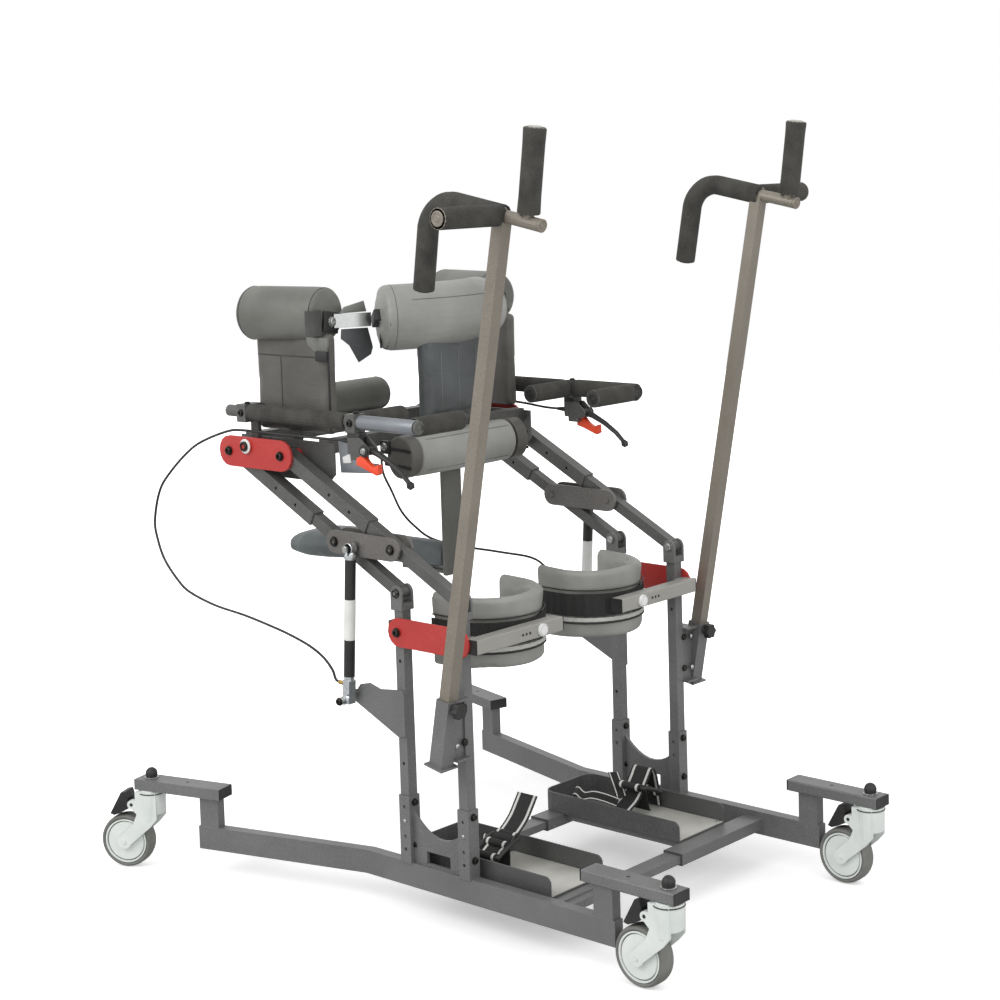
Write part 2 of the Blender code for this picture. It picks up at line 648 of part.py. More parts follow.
def leg_post(which, side):
    """A leg tube with its knee clevis, and the bracket that it carries."""
    knee = KNEES[which]
    x, y = knee.x, -RAIL_Y
    foot = HOLE_Z0 + HOLE_PITCH / 2 + GAP
    adds = [centred(x, y, (foot + KNEE_Z - 0.018) / 2, (TUBE, TUBE, KNEE_Z - 0.018 - foot))]
    cheek_in = TUBE / 2 + RUNNING
    cheek = [(x - 0.0135, KNEE_Z - 0.030), (x + 0.0135, KNEE_Z - 0.030), (x + 0.0135, KNEE_Z)]
    cheek += arc((x, KNEE_Z), 0.0130, 20, 160, 6)
    cheek.append((x - 0.0135, KNEE_Z))
    adds.append(block((x - 0.0133, x + 0.0133), (y - cheek_in - CHEEK_T, y + cheek_in + CHEEK_T),
                      (KNEE_Z - 0.0298, KNEE_Z - 0.0170)))
    for sign in (-1, 1):
        low = y + (cheek_in if sign > 0 else -cheek_in - CHEEK_T)
        adds.append(extrude(cheek, low, low + CHEEK_T, "Y"))
        head = y + sign * (cheek_in + CHEEK_T)
        adds.append(rod((x, head - sign * 0.001, KNEE_Z), (x, head + sign * 0.004, KNEE_Z), PIN_HEAD_R, 6))
    adds.append(rod((x, y - cheek_in - 0.001, KNEE_Z), (x, y + cheek_in + 0.001, KNEE_Z),
                    PIN_R - RUNNING, 12))
    cuts = []
    for z in (0.268, 0.448) if which == "rear" else (0.448,):
        cuts.append(rod((x, y - TUBE, z), (x, y + TUBE, z), HOLE_R, 10))
    if which == "rear":
        out = y - TUBE / 2 + 0.0002
        foot_x, foot_z = GAS_FOOT
        plate = [(x + 0.010, 0.318), (x + 0.010, 0.392), (x + 0.004, 0.398), (x - 0.024, 0.395)]
        plate += [(x - 0.050, 0.392), (foot_x + 0.034, 0.399), (foot_x + 0.012, 0.394)]
        plate += arc((foot_x, foot_z), 0.011, 75, 225, 5)
        plate += [(x - 0.006, 0.314)]
        adds.append(extrude(plate, out - 0.004, out, "Y"))
        adds.append(rod((foot_x, out - 0.001, foot_z), (foot_x, -GAS_Y, foot_z), 0.0035, 10))
        adds.append(block((x - TUBE / 2 - 0.016, x - TUBE / 2 + 0.001), (y - 0.009, y + 0.009),
                          (BRACE_Z - 0.004, BRACE_Z + 0.016)))
    else:
        socket, bores = handle_socket()
        adds += socket
        cuts += bores
    fuse("leg_post_%s_%s" % (which, side), STEEL_GREY, adds, cuts, side=side)


HANDLE_DIR = Vector((math.sin(HANDLE_TILT), 0, math.cos(HANDLE_TILT)))
HANDLE_FOOT = Vector((HANDLE_FOOT_X, -HANDLE_Y, HANDLE_FOOT_Z))


def handle_point(z):
    """The place on a handle post's centre line at a height."""
    return HANDLE_FOOT + HANDLE_DIR * ((z - HANDLE_FOOT_Z) / HANDLE_DIR.z)


def handle_socket():
    """The tilted socket that clamps a handle post beside the front leg."""
    outer = HANDLE_TUBE + 2 * (SOCKET_T + GAP)
    low = HANDLE_FOOT - HANDLE_DIR * 0.004
    high = HANDLE_FOOT + HANDLE_DIR * SOCKET_L
    x_axis = (0, 1, 0)
    adds = [beam(low, high, outer, outer, rise=x_axis)]
    cuts = [beam(HANDLE_FOOT - HANDLE_DIR * GAP, high + HANDLE_DIR * 0.02, HANDLE_TUBE + 2 * GAP,
                 HANDLE_TUBE + 2 * GAP, rise=x_axis)]
    leg_face = -RAIL_Y - TUBE / 2 + 0.001
    socket_face = -HANDLE_Y + outer / 2 - 0.001
    x = FRONT_POST_X
    web_low, web_high = HANDLE_FOOT_Z + 0.003, high.z - 0.006
    adds.append(block((x - 0.009, x + 0.006), (socket_face, leg_face), (web_low, web_high)))
    for z in (web_low, web_high - 0.003):
        adds.append(block((x - 0.018, x + 0.022), (socket_face, leg_face), (z, z + 0.004)))
    adds.append(beam(low, HANDLE_FOOT - HANDLE_DIR * 0.0008, outer + 0.012, outer + 0.012, rise=x_axis))
    centre = handle_point(high.z - 0.016)
    adds.append(rod((centre.x + HANDLE_TUBE / 2 + GAP + 0.001, centre.y, centre.z),
                    (centre.x + outer / 2 + 0.006, centre.y, centre.z), 0.006, 12))
    cuts.append(rod((centre.x + HANDLE_TUBE / 2, centre.y, centre.z),
                    (centre.x + outer / 2 + 0.010, centre.y, centre.z), 0.0035, 10))
    return adds, cuts


def brace_link(side):
    """The red plate that ties the two legs below the knee pivots."""
    face = -RAIL_Y - TUBE / 2 - GAP
    a, b = (REAR_POST_X + 0.002, BRACE_Z), (FRONT_POST_X + 0.004, BRACE_Z)
    adds = [extrude(stadium(a, b, BRACE_R, 8), face - BRACE_T, face, "Y")]
    for x in (REAR_POST_X, FRONT_POST_X):
        adds.append(rod((x, face - BRACE_T - 0.003, BRACE_Z), (x, face - BRACE_T + 0.001, BRACE_Z),
                        0.006, 6))
    fuse("brace_link_" + side, PLATE_RED, adds, side=side)


def arm(which, side, parent):
    """A thigh arm: inner tube from the knee pivot, outer sleeve to the hip pivot."""
    knee, hip = KNEES[which], HIPS[which]
    rise = (0, 1, 0)
    start = knee + ARM_DIR * 0.004
    adds = [beam(start, knee + ARM_DIR * (ARM_SLEEVE_START + 0.02), TUBE, TUBE - 2 * GAP, rise=rise)]
    adds.append(beam(knee + ARM_DIR * ARM_SLEEVE_START, hip + ARM_DIR * 0.010, SLEEVE, SLEEVE, rise=rise))
    reach = TUBE / 2 - GAP
    adds.append(rod((knee.x, knee.y - reach, knee.z), (knee.x, knee.y + reach, knee.z), TUBE / 2, 20))
    half = SLEEVE / 2
    adds.append(rod((hip.x, hip.y - half + 0.0001, hip.z), (hip.x, hip.y + half - 0.0001, hip.z),
                    half * 1.02, 20))
    cuts = []
    for place in (knee, MIDS[which], hip):
        cuts.append(rod((place.x, place.y - 0.02, place.z), (place.x, place.y + 0.02, place.z), PIN_R, 12))
    for share in (0.60, 0.72):
        place = knee + ARM_DIR * (ARM_L * share)
        cuts.append(rod((place.x, place.y - 0.02, place.z), (place.x, place.y + 0.02, place.z),
                        HOLE_R, 10))
    return fuse("arm_%s_%s" % (which, side), STEEL_GREY, adds, cuts, origin=knee, side=side)


def mid_link(side):
    """Two plates that sandwich both arms at their middle pivots, with the gas spring's stud."""
    rear, front = MIDS["rear"], MIDS["front"]
    y = -ARM_Y
    adds = []
    tilt_outline = stadium((rear.x, rear.z), (front.x, front.z), LINK_R, 8)
    for sign in (-1, 1):
        low = y + (PLATE_IN if sign > 0 else -PLATE_IN - LINK_T)
        adds.append(extrude(tilt_outline, low, low + LINK_T, "Y"))
    for pin in (rear, front):
        adds.append(rod((pin.x, y - PLATE_IN - 0.001, pin.z), (pin.x, y + PLATE_IN + 0.001, pin.z),
                        PIN_R - RUNNING, 12))
        for sign in (-1, 1):
            wash = y + sign * (TUBE / 2 + RUNNING)
            adds.append(rod((pin.x, wash, pin.z), (pin.x, y + sign * (PLATE_IN + 0.001), pin.z),
                            WASHER_R, 12))
            face = y + sign * (PLATE_IN + LINK_T)
            adds.append(rod((pin.x, face - sign * 0.001, pin.z), (pin.x, face + sign * 0.003, pin.z),
                            0.006, 6))
    return fuse("mid_link_" + side, STEEL_GREY, adds, origin=rear, side=side)


GAS_TOP = Vector((MIDS["rear"].x + GAS_EYE[0], -GAS_Y, MIDS["rear"].z + GAS_EYE[1]))
GAS_BASE = Vector((GAS_FOOT[0], -GAS_Y, GAS_FOOT[1]))
GAS_DIR = (GAS_TOP - GAS_BASE).normalized()


def gas_spring(side):
    """A locking gas spring: the cylinder above, its rod and release head below."""
    top = GAS_TOP - GAS_DIR * 0.018
    bottom = top - GAS_DIR * GAS_BODY_L
    plate_face = -ARM_Y - PLATE_IN - LINK_T
    adds = [rod(bottom, top, GAS_R, 20)]
    adds.append(rod(top - GAS_DIR * 0.001, GAS_TOP, 0.006, 12))
    adds.append(rod((GAS_TOP.x, -GAS_Y - 0.007, GAS_TOP.z), (GAS_TOP.x, -GAS_Y + 0.007, GAS_TOP.z),
                    0.009, 14))
    adds.append(rod((GAS_TOP.x, -GAS_Y, GAS_TOP.z), (GAS_TOP.x, plate_face - GAP, GAS_TOP.z), 0.0045, 12))
    adds.append(rod((GAS_TOP.x, -GAS_Y - 0.011, GAS_TOP.z), (GAS_TOP.x, -GAS_Y, GAS_TOP.z), 0.0060, 6))
    bore = rod(bottom - GAS_DIR * 0.01, top - GAS_DIR * 0.010, GAS_ROD_R + RUNNING, 12)
    fuse("gas_cylinder_" + side, PLASTIC_BLACK, adds, [bore], origin=GAS_TOP, side=side)
    head_top = bottom - GAS_DIR * (GAP + 0.0005)
    adds = [rod(head_top - GAS_DIR * 0.004, top - GAS_DIR * 0.014, GAS_ROD_R, 12)]
    adds.append(rod(head_top - GAS_DIR * 0.008, head_top, 0.009, 16))
    foot = GAS_BASE
    adds.append(beam(foot - GAS_DIR * 0.010, head_top - GAS_DIR * 0.006, 0.016, 0.016, rise=(0, 1, 0)))
    adds.append(rod((foot.x - 0.004, foot.y - 0.007, foot.z - 0.004),
                    (foot.x - 0.004, foot.y - 0.019, foot.z - 0.004), 0.0085, 12, 0.006))
    eye_cut = rod((foot.x, foot.y - 0.0005, foot.z), (foot.x, foot.y + 0.02, foot.z), 0.0035 + RUNNING, 10)
    fuse("gas_rod_" + side, CHROME, adds, [eye_cut], origin=GAS_BASE, side=side)
    return head_top


def u_path(radius, centre_y):
    """A U in plan, open to the rear: the line that a knee cup's wall follows."""
    front_x = FRONT_POST_X + TUBE / 2 + GAP + KNEE_SPACER
    centre_x = front_x - GAP - KNEE_CUP_R - 0.001
    path = [((centre_x - KNEE_SIDE, centre_y + radius), (0, 1))]
    for i in range(15):
        angle = math.radians(90 - 180 * i / 14)
        path.append(((centre_x + radius * math.cos(angle), centre_y + radius * math.sin(angle)),
                     (math.cos(angle), math.sin(angle))))
    path.append(((centre_x - KNEE_SIDE, centre_y - radius), (0, -1)))
    return path


def wall_along(path, profile):
    """Sweep an (outward, height) profile along a path of points and outward directions."""
    bm = bmesh.new()
    rings = []
    for (x, y), (nx, ny) in path:
        rings.append([bm.verts.new((x + nx * out, y + ny * out, z)) for out, z in profile])
    count = len(profile)
    for here, after in zip(rings, rings[1:]):
        for k in range(count):
            j = (k + 1) % count
            bm.faces.new((here[k], here[j], after[j], after[k]))
    bm.faces.new(rings[0])
    bm.faces.new(rings[-1])
    return solid(bm)


def knee_support(side):
    """The knee bar on the front leg, the band that it carries and its padded cup."""
    y = -KNEE_CUP_Y
    z0, z1 = KNEE_CUP_Z, KNEE_CUP_Z + KNEE_CUP_H
    band0, band1 = KNEE_SHELL_Z, KNEE_SHELL_Z + KNEE_SHELL_H
    waist = -KNEE_SHELL_T - GAP - 0.0005
    inner = -KNEE_PAD_T
    pad = [(inner + 0.004, z0), (-0.006, z0), (-0.001, z0 + 0.006), (-0.001, band0 - 0.005),
           (waist, band0 - 0.001), (waist, band1 + 0.001), (-0.001, band1 + 0.006), (0.0, z1 - 0.010),
           (-0.005, z1 - 0.002), (-0.012, z1), (inner + 0.004, z1 - 0.003), (inner, z1 - 0.010),
           (inner - 0.001, (z0 + z1) / 2), (inner, z0 + 0.008)]
    fuse("knee_pad_" + side, VINYL_GREY, [wall_along(u_path(KNEE_CUP_R, y), pad)], side=side)
    band = [(-KNEE_SHELL_T, band0), (0.0, band0), (0.0, band1), (-KNEE_SHELL_T, band1)]
    shell = [wall_along(u_path(KNEE_CUP_R, y), band)]
    post_face = FRONT_POST_X + TUBE / 2 + GAP
    bar_back = post_face + KNEE_SPACER
    shell.append(block((bar_back - GAP - 0.0036, bar_back - GAP), (y - 0.016, y + 0.016),
                       (KNEE_BAR_Z - 0.011, KNEE_BAR_Z + 0.011)))
    fuse("knee_cup_" + side, PLASTIC_BLACK, shell, side=side)
    bar = [block((bar_back, bar_back + SLEEVE), (-KNEE_BAR_OUT, -KNEE_BAR_IN),
                 (KNEE_BAR_Z - SLEEVE / 2, KNEE_BAR_Z + SLEEVE / 2), bevel=0.0015)]
    bar.append(rod((bar_back + SLEEVE - 0.001, y, KNEE_BAR_Z), (bar_back + SLEEVE + 0.006, y, KNEE_BAR_Z),
                   0.0105, 16, 0.0095))
    bar.append(block((post_face, bar_back + 0.002), (-KNEE_BAR_OUT + 0.001, -RAIL_Y + 0.013),
                     (KNEE_BAR_Z - 0.0115, KNEE_BAR_Z + 0.0115)))
    holes = []
    for k in range(3):
        hole_y = y - 0.030 - 0.009 * k
        holes.append(rod((bar_back - 0.01, hole_y, KNEE_BAR_Z), (bar_back + 0.04, hole_y, KNEE_BAR_Z),
                         0.0022, 8))
    fuse("knee_bar_" + side, KNEE_GREY, bar, holes, side=side)


def handle_post(side):
    """A tilted handle post with its padded fore-and-aft, standing and sideways grips."""
    top = handle_point(HANDLE_TOP_Z + GRIP_LIFT[side])
    ahead = Vector((HANDLE_DIR.z, 0, -HANDLE_DIR.x))
    adds = [beam(HANDLE_FOOT, top, HANDLE_TUBE, HANDLE_TUBE, rise=(0, 1, 0))]
    nose = top + ahead * STUB_L
    adds.append(swept([top - ahead * 0.02, nose - ahead * 0.004, nose],
                      [GRIP_TUBE_R, GRIP_TUBE_R, GRIP_TUBE_R * 0.8], 14))
    back = [top + ahead * 0.004, top - ahead * 0.030, top - ahead * GRIP_BACK[side]]
    bend = GRIP_BEND
    centre = back[-1] - HANDLE_DIR * bend
    for i in range(1, 8):
        angle = math.radians(84 * i / 7)
        back.append(centre - ahead * (bend * math.sin(angle)) + HANDLE_DIR * (bend * math.cos(angle)))
    drop = Vector((-GRIP_LEAN[side], 0, -1)).normalized()
    foot = back[-1]
    back += [foot + drop * share for share in (0.020, GRIP_DROP - 0.004, GRIP_DROP)]
    radii = [FOAM_R * 0.86] + [FOAM_R] * (len(back) - 2) + [FOAM_R * 0.86]
    adds.append(swept(back, radii, 14))
    grip = top + ahead * GRIP_REACH[side]
    stand = Vector((math.sin(HANDLE_TILT - math.radians(3.0)), 0, math.cos(HANDLE_TILT - math.radians(3.0))))
    low, high = GRIP_STAND[side]
    adds.append(rod(grip - stand * 0.004, grip + stand * (high - 0.004), GRIP_TUBE_R * 0.88, 8))
    adds.append(rod(grip + stand * low, grip + stand * high, FOAM_R, 14))
    out = top + ahead * -0.004
    adds.append(rod((out.x, out.y, out.z), (out.x, out.y - GRIP_OUT, out.z), FOAM_R * 0.985, 14))
    return fuse("handle_post_" + side, POST_BROWN, adds, origin=HANDLE_FOOT, side=side)


def handle_knob(side):
    """The star knob that clamps a handle post in its socket."""
    high = HANDLE_FOOT + HANDLE_DIR * SOCKET_L
    centre = handle_point(high.z - 0.016)
    face = centre.x + (HANDLE_TUBE + 2 * (SOCKET_T + GAP)) / 2 + 0.006 + GAP
    star = []
    for i in range(24):
        angle = 2 * math.pi * i / 24
        radius = 0.0125 + 0.0015 * math.cos(6 * angle)
        star.append((centre.y + radius * math.cos(angle), centre.z + radius * math.sin(angle)))
    adds = [extrude(star, face, face + 0.012, "X")]
    adds.append(rod((face + 0.001, centre.y, centre.z),
                    (centre.x + HANDLE_TUBE / 2 + GAP + 0.0022, centre.y, centre.z), 0.003, 10))
    fuse("handle_knob_" + side, PLASTIC_BLACK, adds, origin=(face, centre.y, centre.z), side=side)


def hip_plate(side, parent):
    """The red plate that carries the carriage on both arms' hip pivots."""
    rear, front = HIPS["rear"] - CARRIAGE_STEP, HIPS["front"] - CARRIAGE_STEP
    low = -ARM_Y - PLATE_IN - LINK_T
    adds = [extrude(stadium((rear.x, rear.z), (front.x, front.z), HIP_R, 8), low, low + LINK_T, "Y")]
    for pin in (rear, front):
        adds.append(rod((pin.x, low - 0.003, pin.z), (pin.x, low + 0.001, pin.z), 0.006, 6))
        adds.append(rod((pin.x, low + 0.001, pin.z), (pin.x, -PLATE_Y - PLATE_T / 2 - GAP, pin.z),
                        PIN_R - RUNNING, 12))
        adds.append(rod((pin.x, -ARM_Y + SLEEVE / 2 + RUNNING, pin.z),
                        (pin.x, -PLATE_Y - PLATE_T / 2 - GAP, pin.z), WASHER_R, 12))
    ring_x, ring_z = rear.x + 0.050, rear.z + 0.012
    adds.append(rod((ring_x, low - 0.004, ring_z), (ring_x, low + 0.001, ring_z), 0.0125, 16))
    adds.append(rod((ring_x, low - 0.009, ring_z), (ring_x, low - 0.003, ring_z), 0.0085, 12))
    return fuse("hip_plate_" + side, PLATE_RED, adds, side=side, parent=parent)


def carriage_frame(parent):
    """Side plates, cross tubes, uprights and the two side bars of the carriage."""
    rear, front = HIPS["rear"] - CARRIAGE_STEP, HIPS["front"] - CARRIAGE_STEP
    adds = []
    top_z = rear.z + 0.024
    low_z = rear.z - 0.048
    outline = [(rear.x - 0.018, top_z), (rear.x - 0.018, rear.z - 0.022), (rear.x + 0.012, low_z)]
    outline += [(front.x + 0.075, low_z), (front.x + 0.092, low_z + 0.016), (front.x + 0.092, top_z)]
    for sign in (-1, 1):
        low = sign * PLATE_Y - PLATE_T / 2
        adds.append(extrude(outline, low, low + PLATE_T, "Y"))
    reach = PLATE_Y - 0.0005
    half = CROSS_TUBE / 2
    for x in (REAR_TUBE_X, FRONT_TUBE_X):
        adds.append(block((x - half, x + half), (-reach, reach), (TUBE_Z, TUBE_Z + CROSS_TUBE)))
    adds.append(block((FRONT_TUBE_X + half - 0.002, SEAT_POST_X + SEAT_POST_T / 2), (-0.018, 0.018),
                      (SEAT_POST_TOP + GAP, SEAT_POST_TOP + GAP + 0.005)))
    upright_x = CHEST_X - CHEST_PANEL_BACK - GAP
    adds.append(block((upright_x - 0.006, upright_x), (-0.0175, 0.0175), (SEAT_POST_TOP + 0.001, 0.940)))
    for sign in (-1, 1):
        y = sign * BAR_Y
        adds.append(rod((REAR_CLAMP_X - 0.045, y, BAR_Z), (SIDE_CLAMP_X + 0.012, y, BAR_Z), BAR_R, 14))
        tip = GRIP_TIP_X if sign < 0 else GRIP_TIP_X + 0.012
        adds.append(rod((SIDE_CLAMP_X, y, BAR_Z), (tip - 0.006, y, BAR_Z), 0.0125, 14))
        adds.append(rod((tip - 0.007, y, BAR_Z), (tip, y, BAR_Z), 0.0105, 12))
        for x, start in ((SIDE_CLAMP_X - 0.002, 0.0), (tip - 0.014, 0.004)):
            adds.append(rod((x, y - sign * start, BAR_Z - 0.0005), (x, y - sign * 0.116, BAR_Z - 0.0005),
                            INNER_ROLL_R, 14))
        for x, inward in ((REAR_CLAMP_X, 0.029), (SIDE_CLAMP_X, 0.0125)):
            adds.append(block((x - 0.012, x + 0.012), sorted((y - sign * inward, y + sign * 0.0125)),
                              (BAR_Z - 0.018, BAR_Z + 0.0145)))
        adds.append(block((REAR_CLAMP_X - 0.010, REAR_CLAMP_X + 0.010),
                          sorted((y - sign * 0.0262, y - sign * 0.018)), (top_z - 0.040, BAR_Z - 0.010)))
        adds += lever_housing(sign)
        low, high = sorted((sign * (PLATE_Y - 0.001), sign * (UPRIGHT_Y - 0.004)))
        adds.append(block((-0.325, -0.295), (low, high), (TUBE_Z + 0.001, TUBE_Z + 0.026)))
        low, high = sorted((sign * (UPRIGHT_Y - 0.004), sign * (UPRIGHT_Y + 0.004)))
        adds.append(block((-0.3251, -0.2949), (low, high), (TUBE_Z + 0.0005, 0.950)))
    return fuse("carriage_frame", STEEL_GREY, adds, parent=parent)


REAR_TUBE_X = -0.412
FRONT_TUBE_X = -0.2125
TUBE_Z = 0.785
REAR_CLAMP_X = -0.388
SIDE_CLAMP_X = -0.100
GRIP_TIP_X = 0.056
INNER_ROLL_R = 0.0163
CHEST_PANEL_BACK = 0.0
LATERAL_OUT = 0.2500
UPRIGHT_Y = LATERAL_OUT - LATERAL_PANEL_T / 2


def seat(parent):
    """The seat post with its foot plate, and the saddle on it."""
    half, thick = SEAT_POST / 2, SEAT_POST_T / 2
    x = SEAT_POST_X
    adds = [block((x - thick, x + thick), (-half, half), (SEAT_POST_FOOT, SEAT_POST_TOP), bevel=0.002)]
    adds.append(block((x - 0.120, x - thick + 0.001), (-0.016, 0.016),
                      (SEAT_POST_FOOT + 0.002, SEAT_POST_FOOT + 0.008)))
    fuse("seat_post", STEEL_GREY, adds, parent=parent)
    front = x - thick - GAP
    stations = [(0.0, 0.024, 0.018), (0.012, 0.027, 0.022), (0.080, 0.029, 0.023), (0.160, 0.034, 0.023),
                (0.230, 0.048, 0.024), (0.300, 0.066, 0.025), (0.350, 0.072, 0.024), (0.385, 0.064, 0.021),
                (0.402, 0.045, 0.015), (0.408, 0.028, 0.010)]
    bm = bmesh.new()
    rings = []
    middle = SEAT_POST_FOOT + 0.034
    for back, wide, thick in stations:
        ring = []
        drop = 0.010 * (back / 0.408) ** 2
        for k in range(16):
            angle = 2 * math.pi * k / 16
            c, s = math.cos(angle), math.sin(angle)
            y = wide * math.copysign(abs(c) ** 0.6, c)
            z = thick * math.copysign(abs(s) ** 0.75, s)
            floor = -thick * 0.92
            ring.append(bm.verts.new((front - back, y, middle - drop + max(z, floor))))
        rings.append(ring)
    for here, after in zip(rings, rings[1:]):
        for k in range(16):
            j = (k + 1) % 16
            bm.faces.new((here[k], here[j], after[j], after[k]))
    bm.faces.new(rings[0])
    bm.faces.new(rings[-1])
    fuse("saddle", VINYL_GREY, [solid(bm)], parent=parent)


def trunk_supports(parent):
    """Bolster, chest support and rear pad of the carriage."""
    bolster = roll((0, -BOLSTER_HALF, 0), (0, BOLSTER_HALF, 0), BOLSTER_RZ)
    squeeze = Matrix.Diagonal((BOLSTER_RX / BOLSTER_RZ, 1, 1, 1))
    shape([bolster], Matrix.Translation((BOLSTER_X, 0, BOLSTER_Z)) @ squeeze)
    half = SEAT_POST / 2 + GAP
    face = SEAT_POST_X + SEAT_POST_T / 2 + GAP
    cuts = [block((-0.300, face), (-half, half), (0.600, 0.900))]
    fuse("pelvic_bolster", VINYL_GREY, [bolster], cuts, parent=parent)
    back = CHEST_X - CHEST_BACK
    chest = [roll((back, -CHEST_HALF, CHEST_Z), (back, CHEST_HALF, CHEST_Z), CHEST_R,
                  bow=(CHEST_BACK, 0, 0), stations=8)]
    x0 = CHEST_X - CHEST_PANEL_BACK
    wide = CHEST_PANEL_W / 2
    chest.append(block((x0, x0 + CHEST_PANEL_T), (-wide, wide), (0.828, CHEST_Z - 0.030), bevel=0.006))
    fuse("chest_support", VINYL_GREY, chest, parent=parent)
    pad = roll((-0.425, -0.115, 0.8467), (-0.425, 0.095, 0.8467), REAR_PAD_R)
    fuse("rear_pad", VINYL_GREY, [pad], parent=parent)


def lateral_support(side, parent):
    """A side roll on its padded panel, which slips over the carriage's upright."""
    y1 = -LATERAL_OUT
    panel = block((-0.404, -0.208), (y1, y1 + LATERAL_PANEL_T), (0.8125, 1.000), bevel=0.006)
    tail, nose = Vector((-0.405, -0.250, LATERAL_Z)), Vector((-0.229, -0.220, LATERAL_Z))
    body = roll(tail, nose, LATERAL_R)
    hook = nose - (nose - tail).normalized() * 0.02
    turn_at = nose + (nose - tail).normalized() * 0.012
    reach = Vector((CHEST_X - CHEST_BACK - 0.012, -CHEST_HALF - 0.010, LATERAL_Z - 0.010))
    bar = [beam(hook, turn_at + Vector((0, 0, 0)), 0.010, 0.022)]
    bar.append(beam(turn_at + Vector((-0.004, -0.003, -0.002)), reach, 0.008, 0.020))
    pocket = block((-0.3251 - GAP, -0.2949 + GAP), (-UPRIGHT_Y - 0.004 - GAP, -UPRIGHT_Y + 0.004 + GAP),
                   (0.800, 0.950 + GAP))
    fuse("lateral_support_" + side, VINYL_GREY, [panel, body] + bar, [pocket], side=side, parent=parent)


def side_foam(side, parent):
    """The foam sleeve on a side bar."""
    x0, x1 = REAR_CLAMP_X + 0.012 + GAP, SIDE_CLAMP_X - 0.002 - INNER_ROLL_R - GAP
    tube = BAR_R + GAP
    profile = [(x0, tube), (x0, BAR_FOAM_R - 0.002), (x0 + 0.003, BAR_FOAM_R), (x1 - 0.003, BAR_FOAM_R),
               (x1, BAR_FOAM_R - 0.002), (x1, tube)]
    body = turned(profile, (0, -BAR_Y, BAR_Z), "X", 16)
    fuse("side_foam_" + side, FOAM_BLACK, [body], side=side, parent=parent)


LEVER_PIVOT = Vector((-0.066, -BAR_Y, 0.806))


def brake_lever(side, parent):
    """A hand lever that hangs from the front clamp and curves forward to a ball end."""
    p = LEVER_PIVOT
    path = [(p.x - 0.004, p.y, p.z + 0.001), (p.x + 0.020, p.y, p.z - 0.004), (p.x + 0.050, p.y, p.z - 0.017),
            (p.x + 0.078, p.y, p.z - 0.034), (p.x + 0.096, p.y, p.z - 0.050)]
    adds = [swept(path, [0.006, 0.006, 0.005, 0.0045, 0.004], 8)]
    ball = bmesh.new()
    bmesh.ops.create_icosphere(ball, subdivisions=1, radius=0.008)
    ball.transform(Matrix.Translation((p.x + 0.098, p.y, p.z - 0.053)))
    adds.append(solid(ball))
    adds.append(rod((p.x, p.y - 0.008, p.z), (p.x, p.y + 0.008, p.z), 0.0085, 12))
    cuts = [rod((p.x, p.y - 0.02, p.z), (p.x, p.y + 0.02, p.z), 0.003 + RUNNING, 10)]
    fuse("brake_lever_" + side, PLASTIC_BLACK, adds, cuts, origin=p, side=side, parent=parent)


def lever_housing(sign):
    """The housing under a front clamp: block, two cheeks, lever pin and lock button."""
    p = LEVER_PIVOT
    y = sign * BAR_Y
    parts = [block((SIDE_CLAMP_X - 0.010, SIDE_CLAMP_X + 0.018), (y - 0.010, y + 0.010),
                   (p.z - 0.006, BAR_Z - 0.018))]
    cheek = [(SIDE_CLAMP_X - 0.008, p.z + 0.020), (SIDE_CLAMP_X - 0.008, p.z - 0.008)]
    cheek += arc((p.x, p.z), 0.0095, -90, 60, 5)
    cheek += [(SIDE_CLAMP_X + 0.022, p.z + 0.022)]
    for hand in (-1, 1):
        low, high = sorted((y + hand * (0.008 + GAP), y + hand * 0.012))
        parts.append(extrude(cheek, low, high, "Y"))
    parts.append(rod((p.x, y - 0.0115, p.z), (p.x, y + 0.0115, p.z), 0.003, 10))
    parts.append(block((SIDE_CLAMP_X - 0.001, SIDE_CLAMP_X + 0.023), (y - 0.011, y + 0.011),
                       (p.z - 0.018, p.z - 0.005), bevel=0.002))
    return parts


def smooth_route(points, spacing):
    """Read evenly spaced points from a smooth curve through the route's points."""
    pts = [Vector(p) for p in points]
    fine = []
    for i in range(len(pts) - 1):
        a = pts[max(i - 1, 0)]
        b, c = pts[i], pts[i + 1]
        d = pts[min(i + 2, len(pts) - 1)]
        for k in range(24):
            t = k / 24
            fine.append(0.5 * ((2 * b) + (c - a) * t + (2 * a - 5 * b + 4 * c - d) * t * t
                               + (3 * b - a - 3 * c + d) * t ** 3))
    fine.append(pts[-1])
    length = sum((q - p).length for p, q in zip(fine, fine[1:]))
    count = max(8, int(length / spacing))
    step, out, run, target = length / count, [fine[0]], 0.0, length / count
    for p, q in zip(fine, fine[1:]):
        piece = (q - p).length
        while run + piece >= target - 1e-9 and len(out) < count:
            out.append(p.lerp(q, (target - run) / piece))
            target += step
        run += piece
    out.append(fine[-1])
    return out, length


def with_carriage(point):
    """A cable's point, moved along with the carriage: all the way at its plates, not at the spring's head."""
    share = min(max((point[2] - GAS_HEAD_BACK.z) / (HIPS["rear"].z - GAS_HEAD_BACK.z), 0.0), 1.0)
    return Vector(point) + CARRIAGE_STEP * (share * share * (3 - 2 * share))


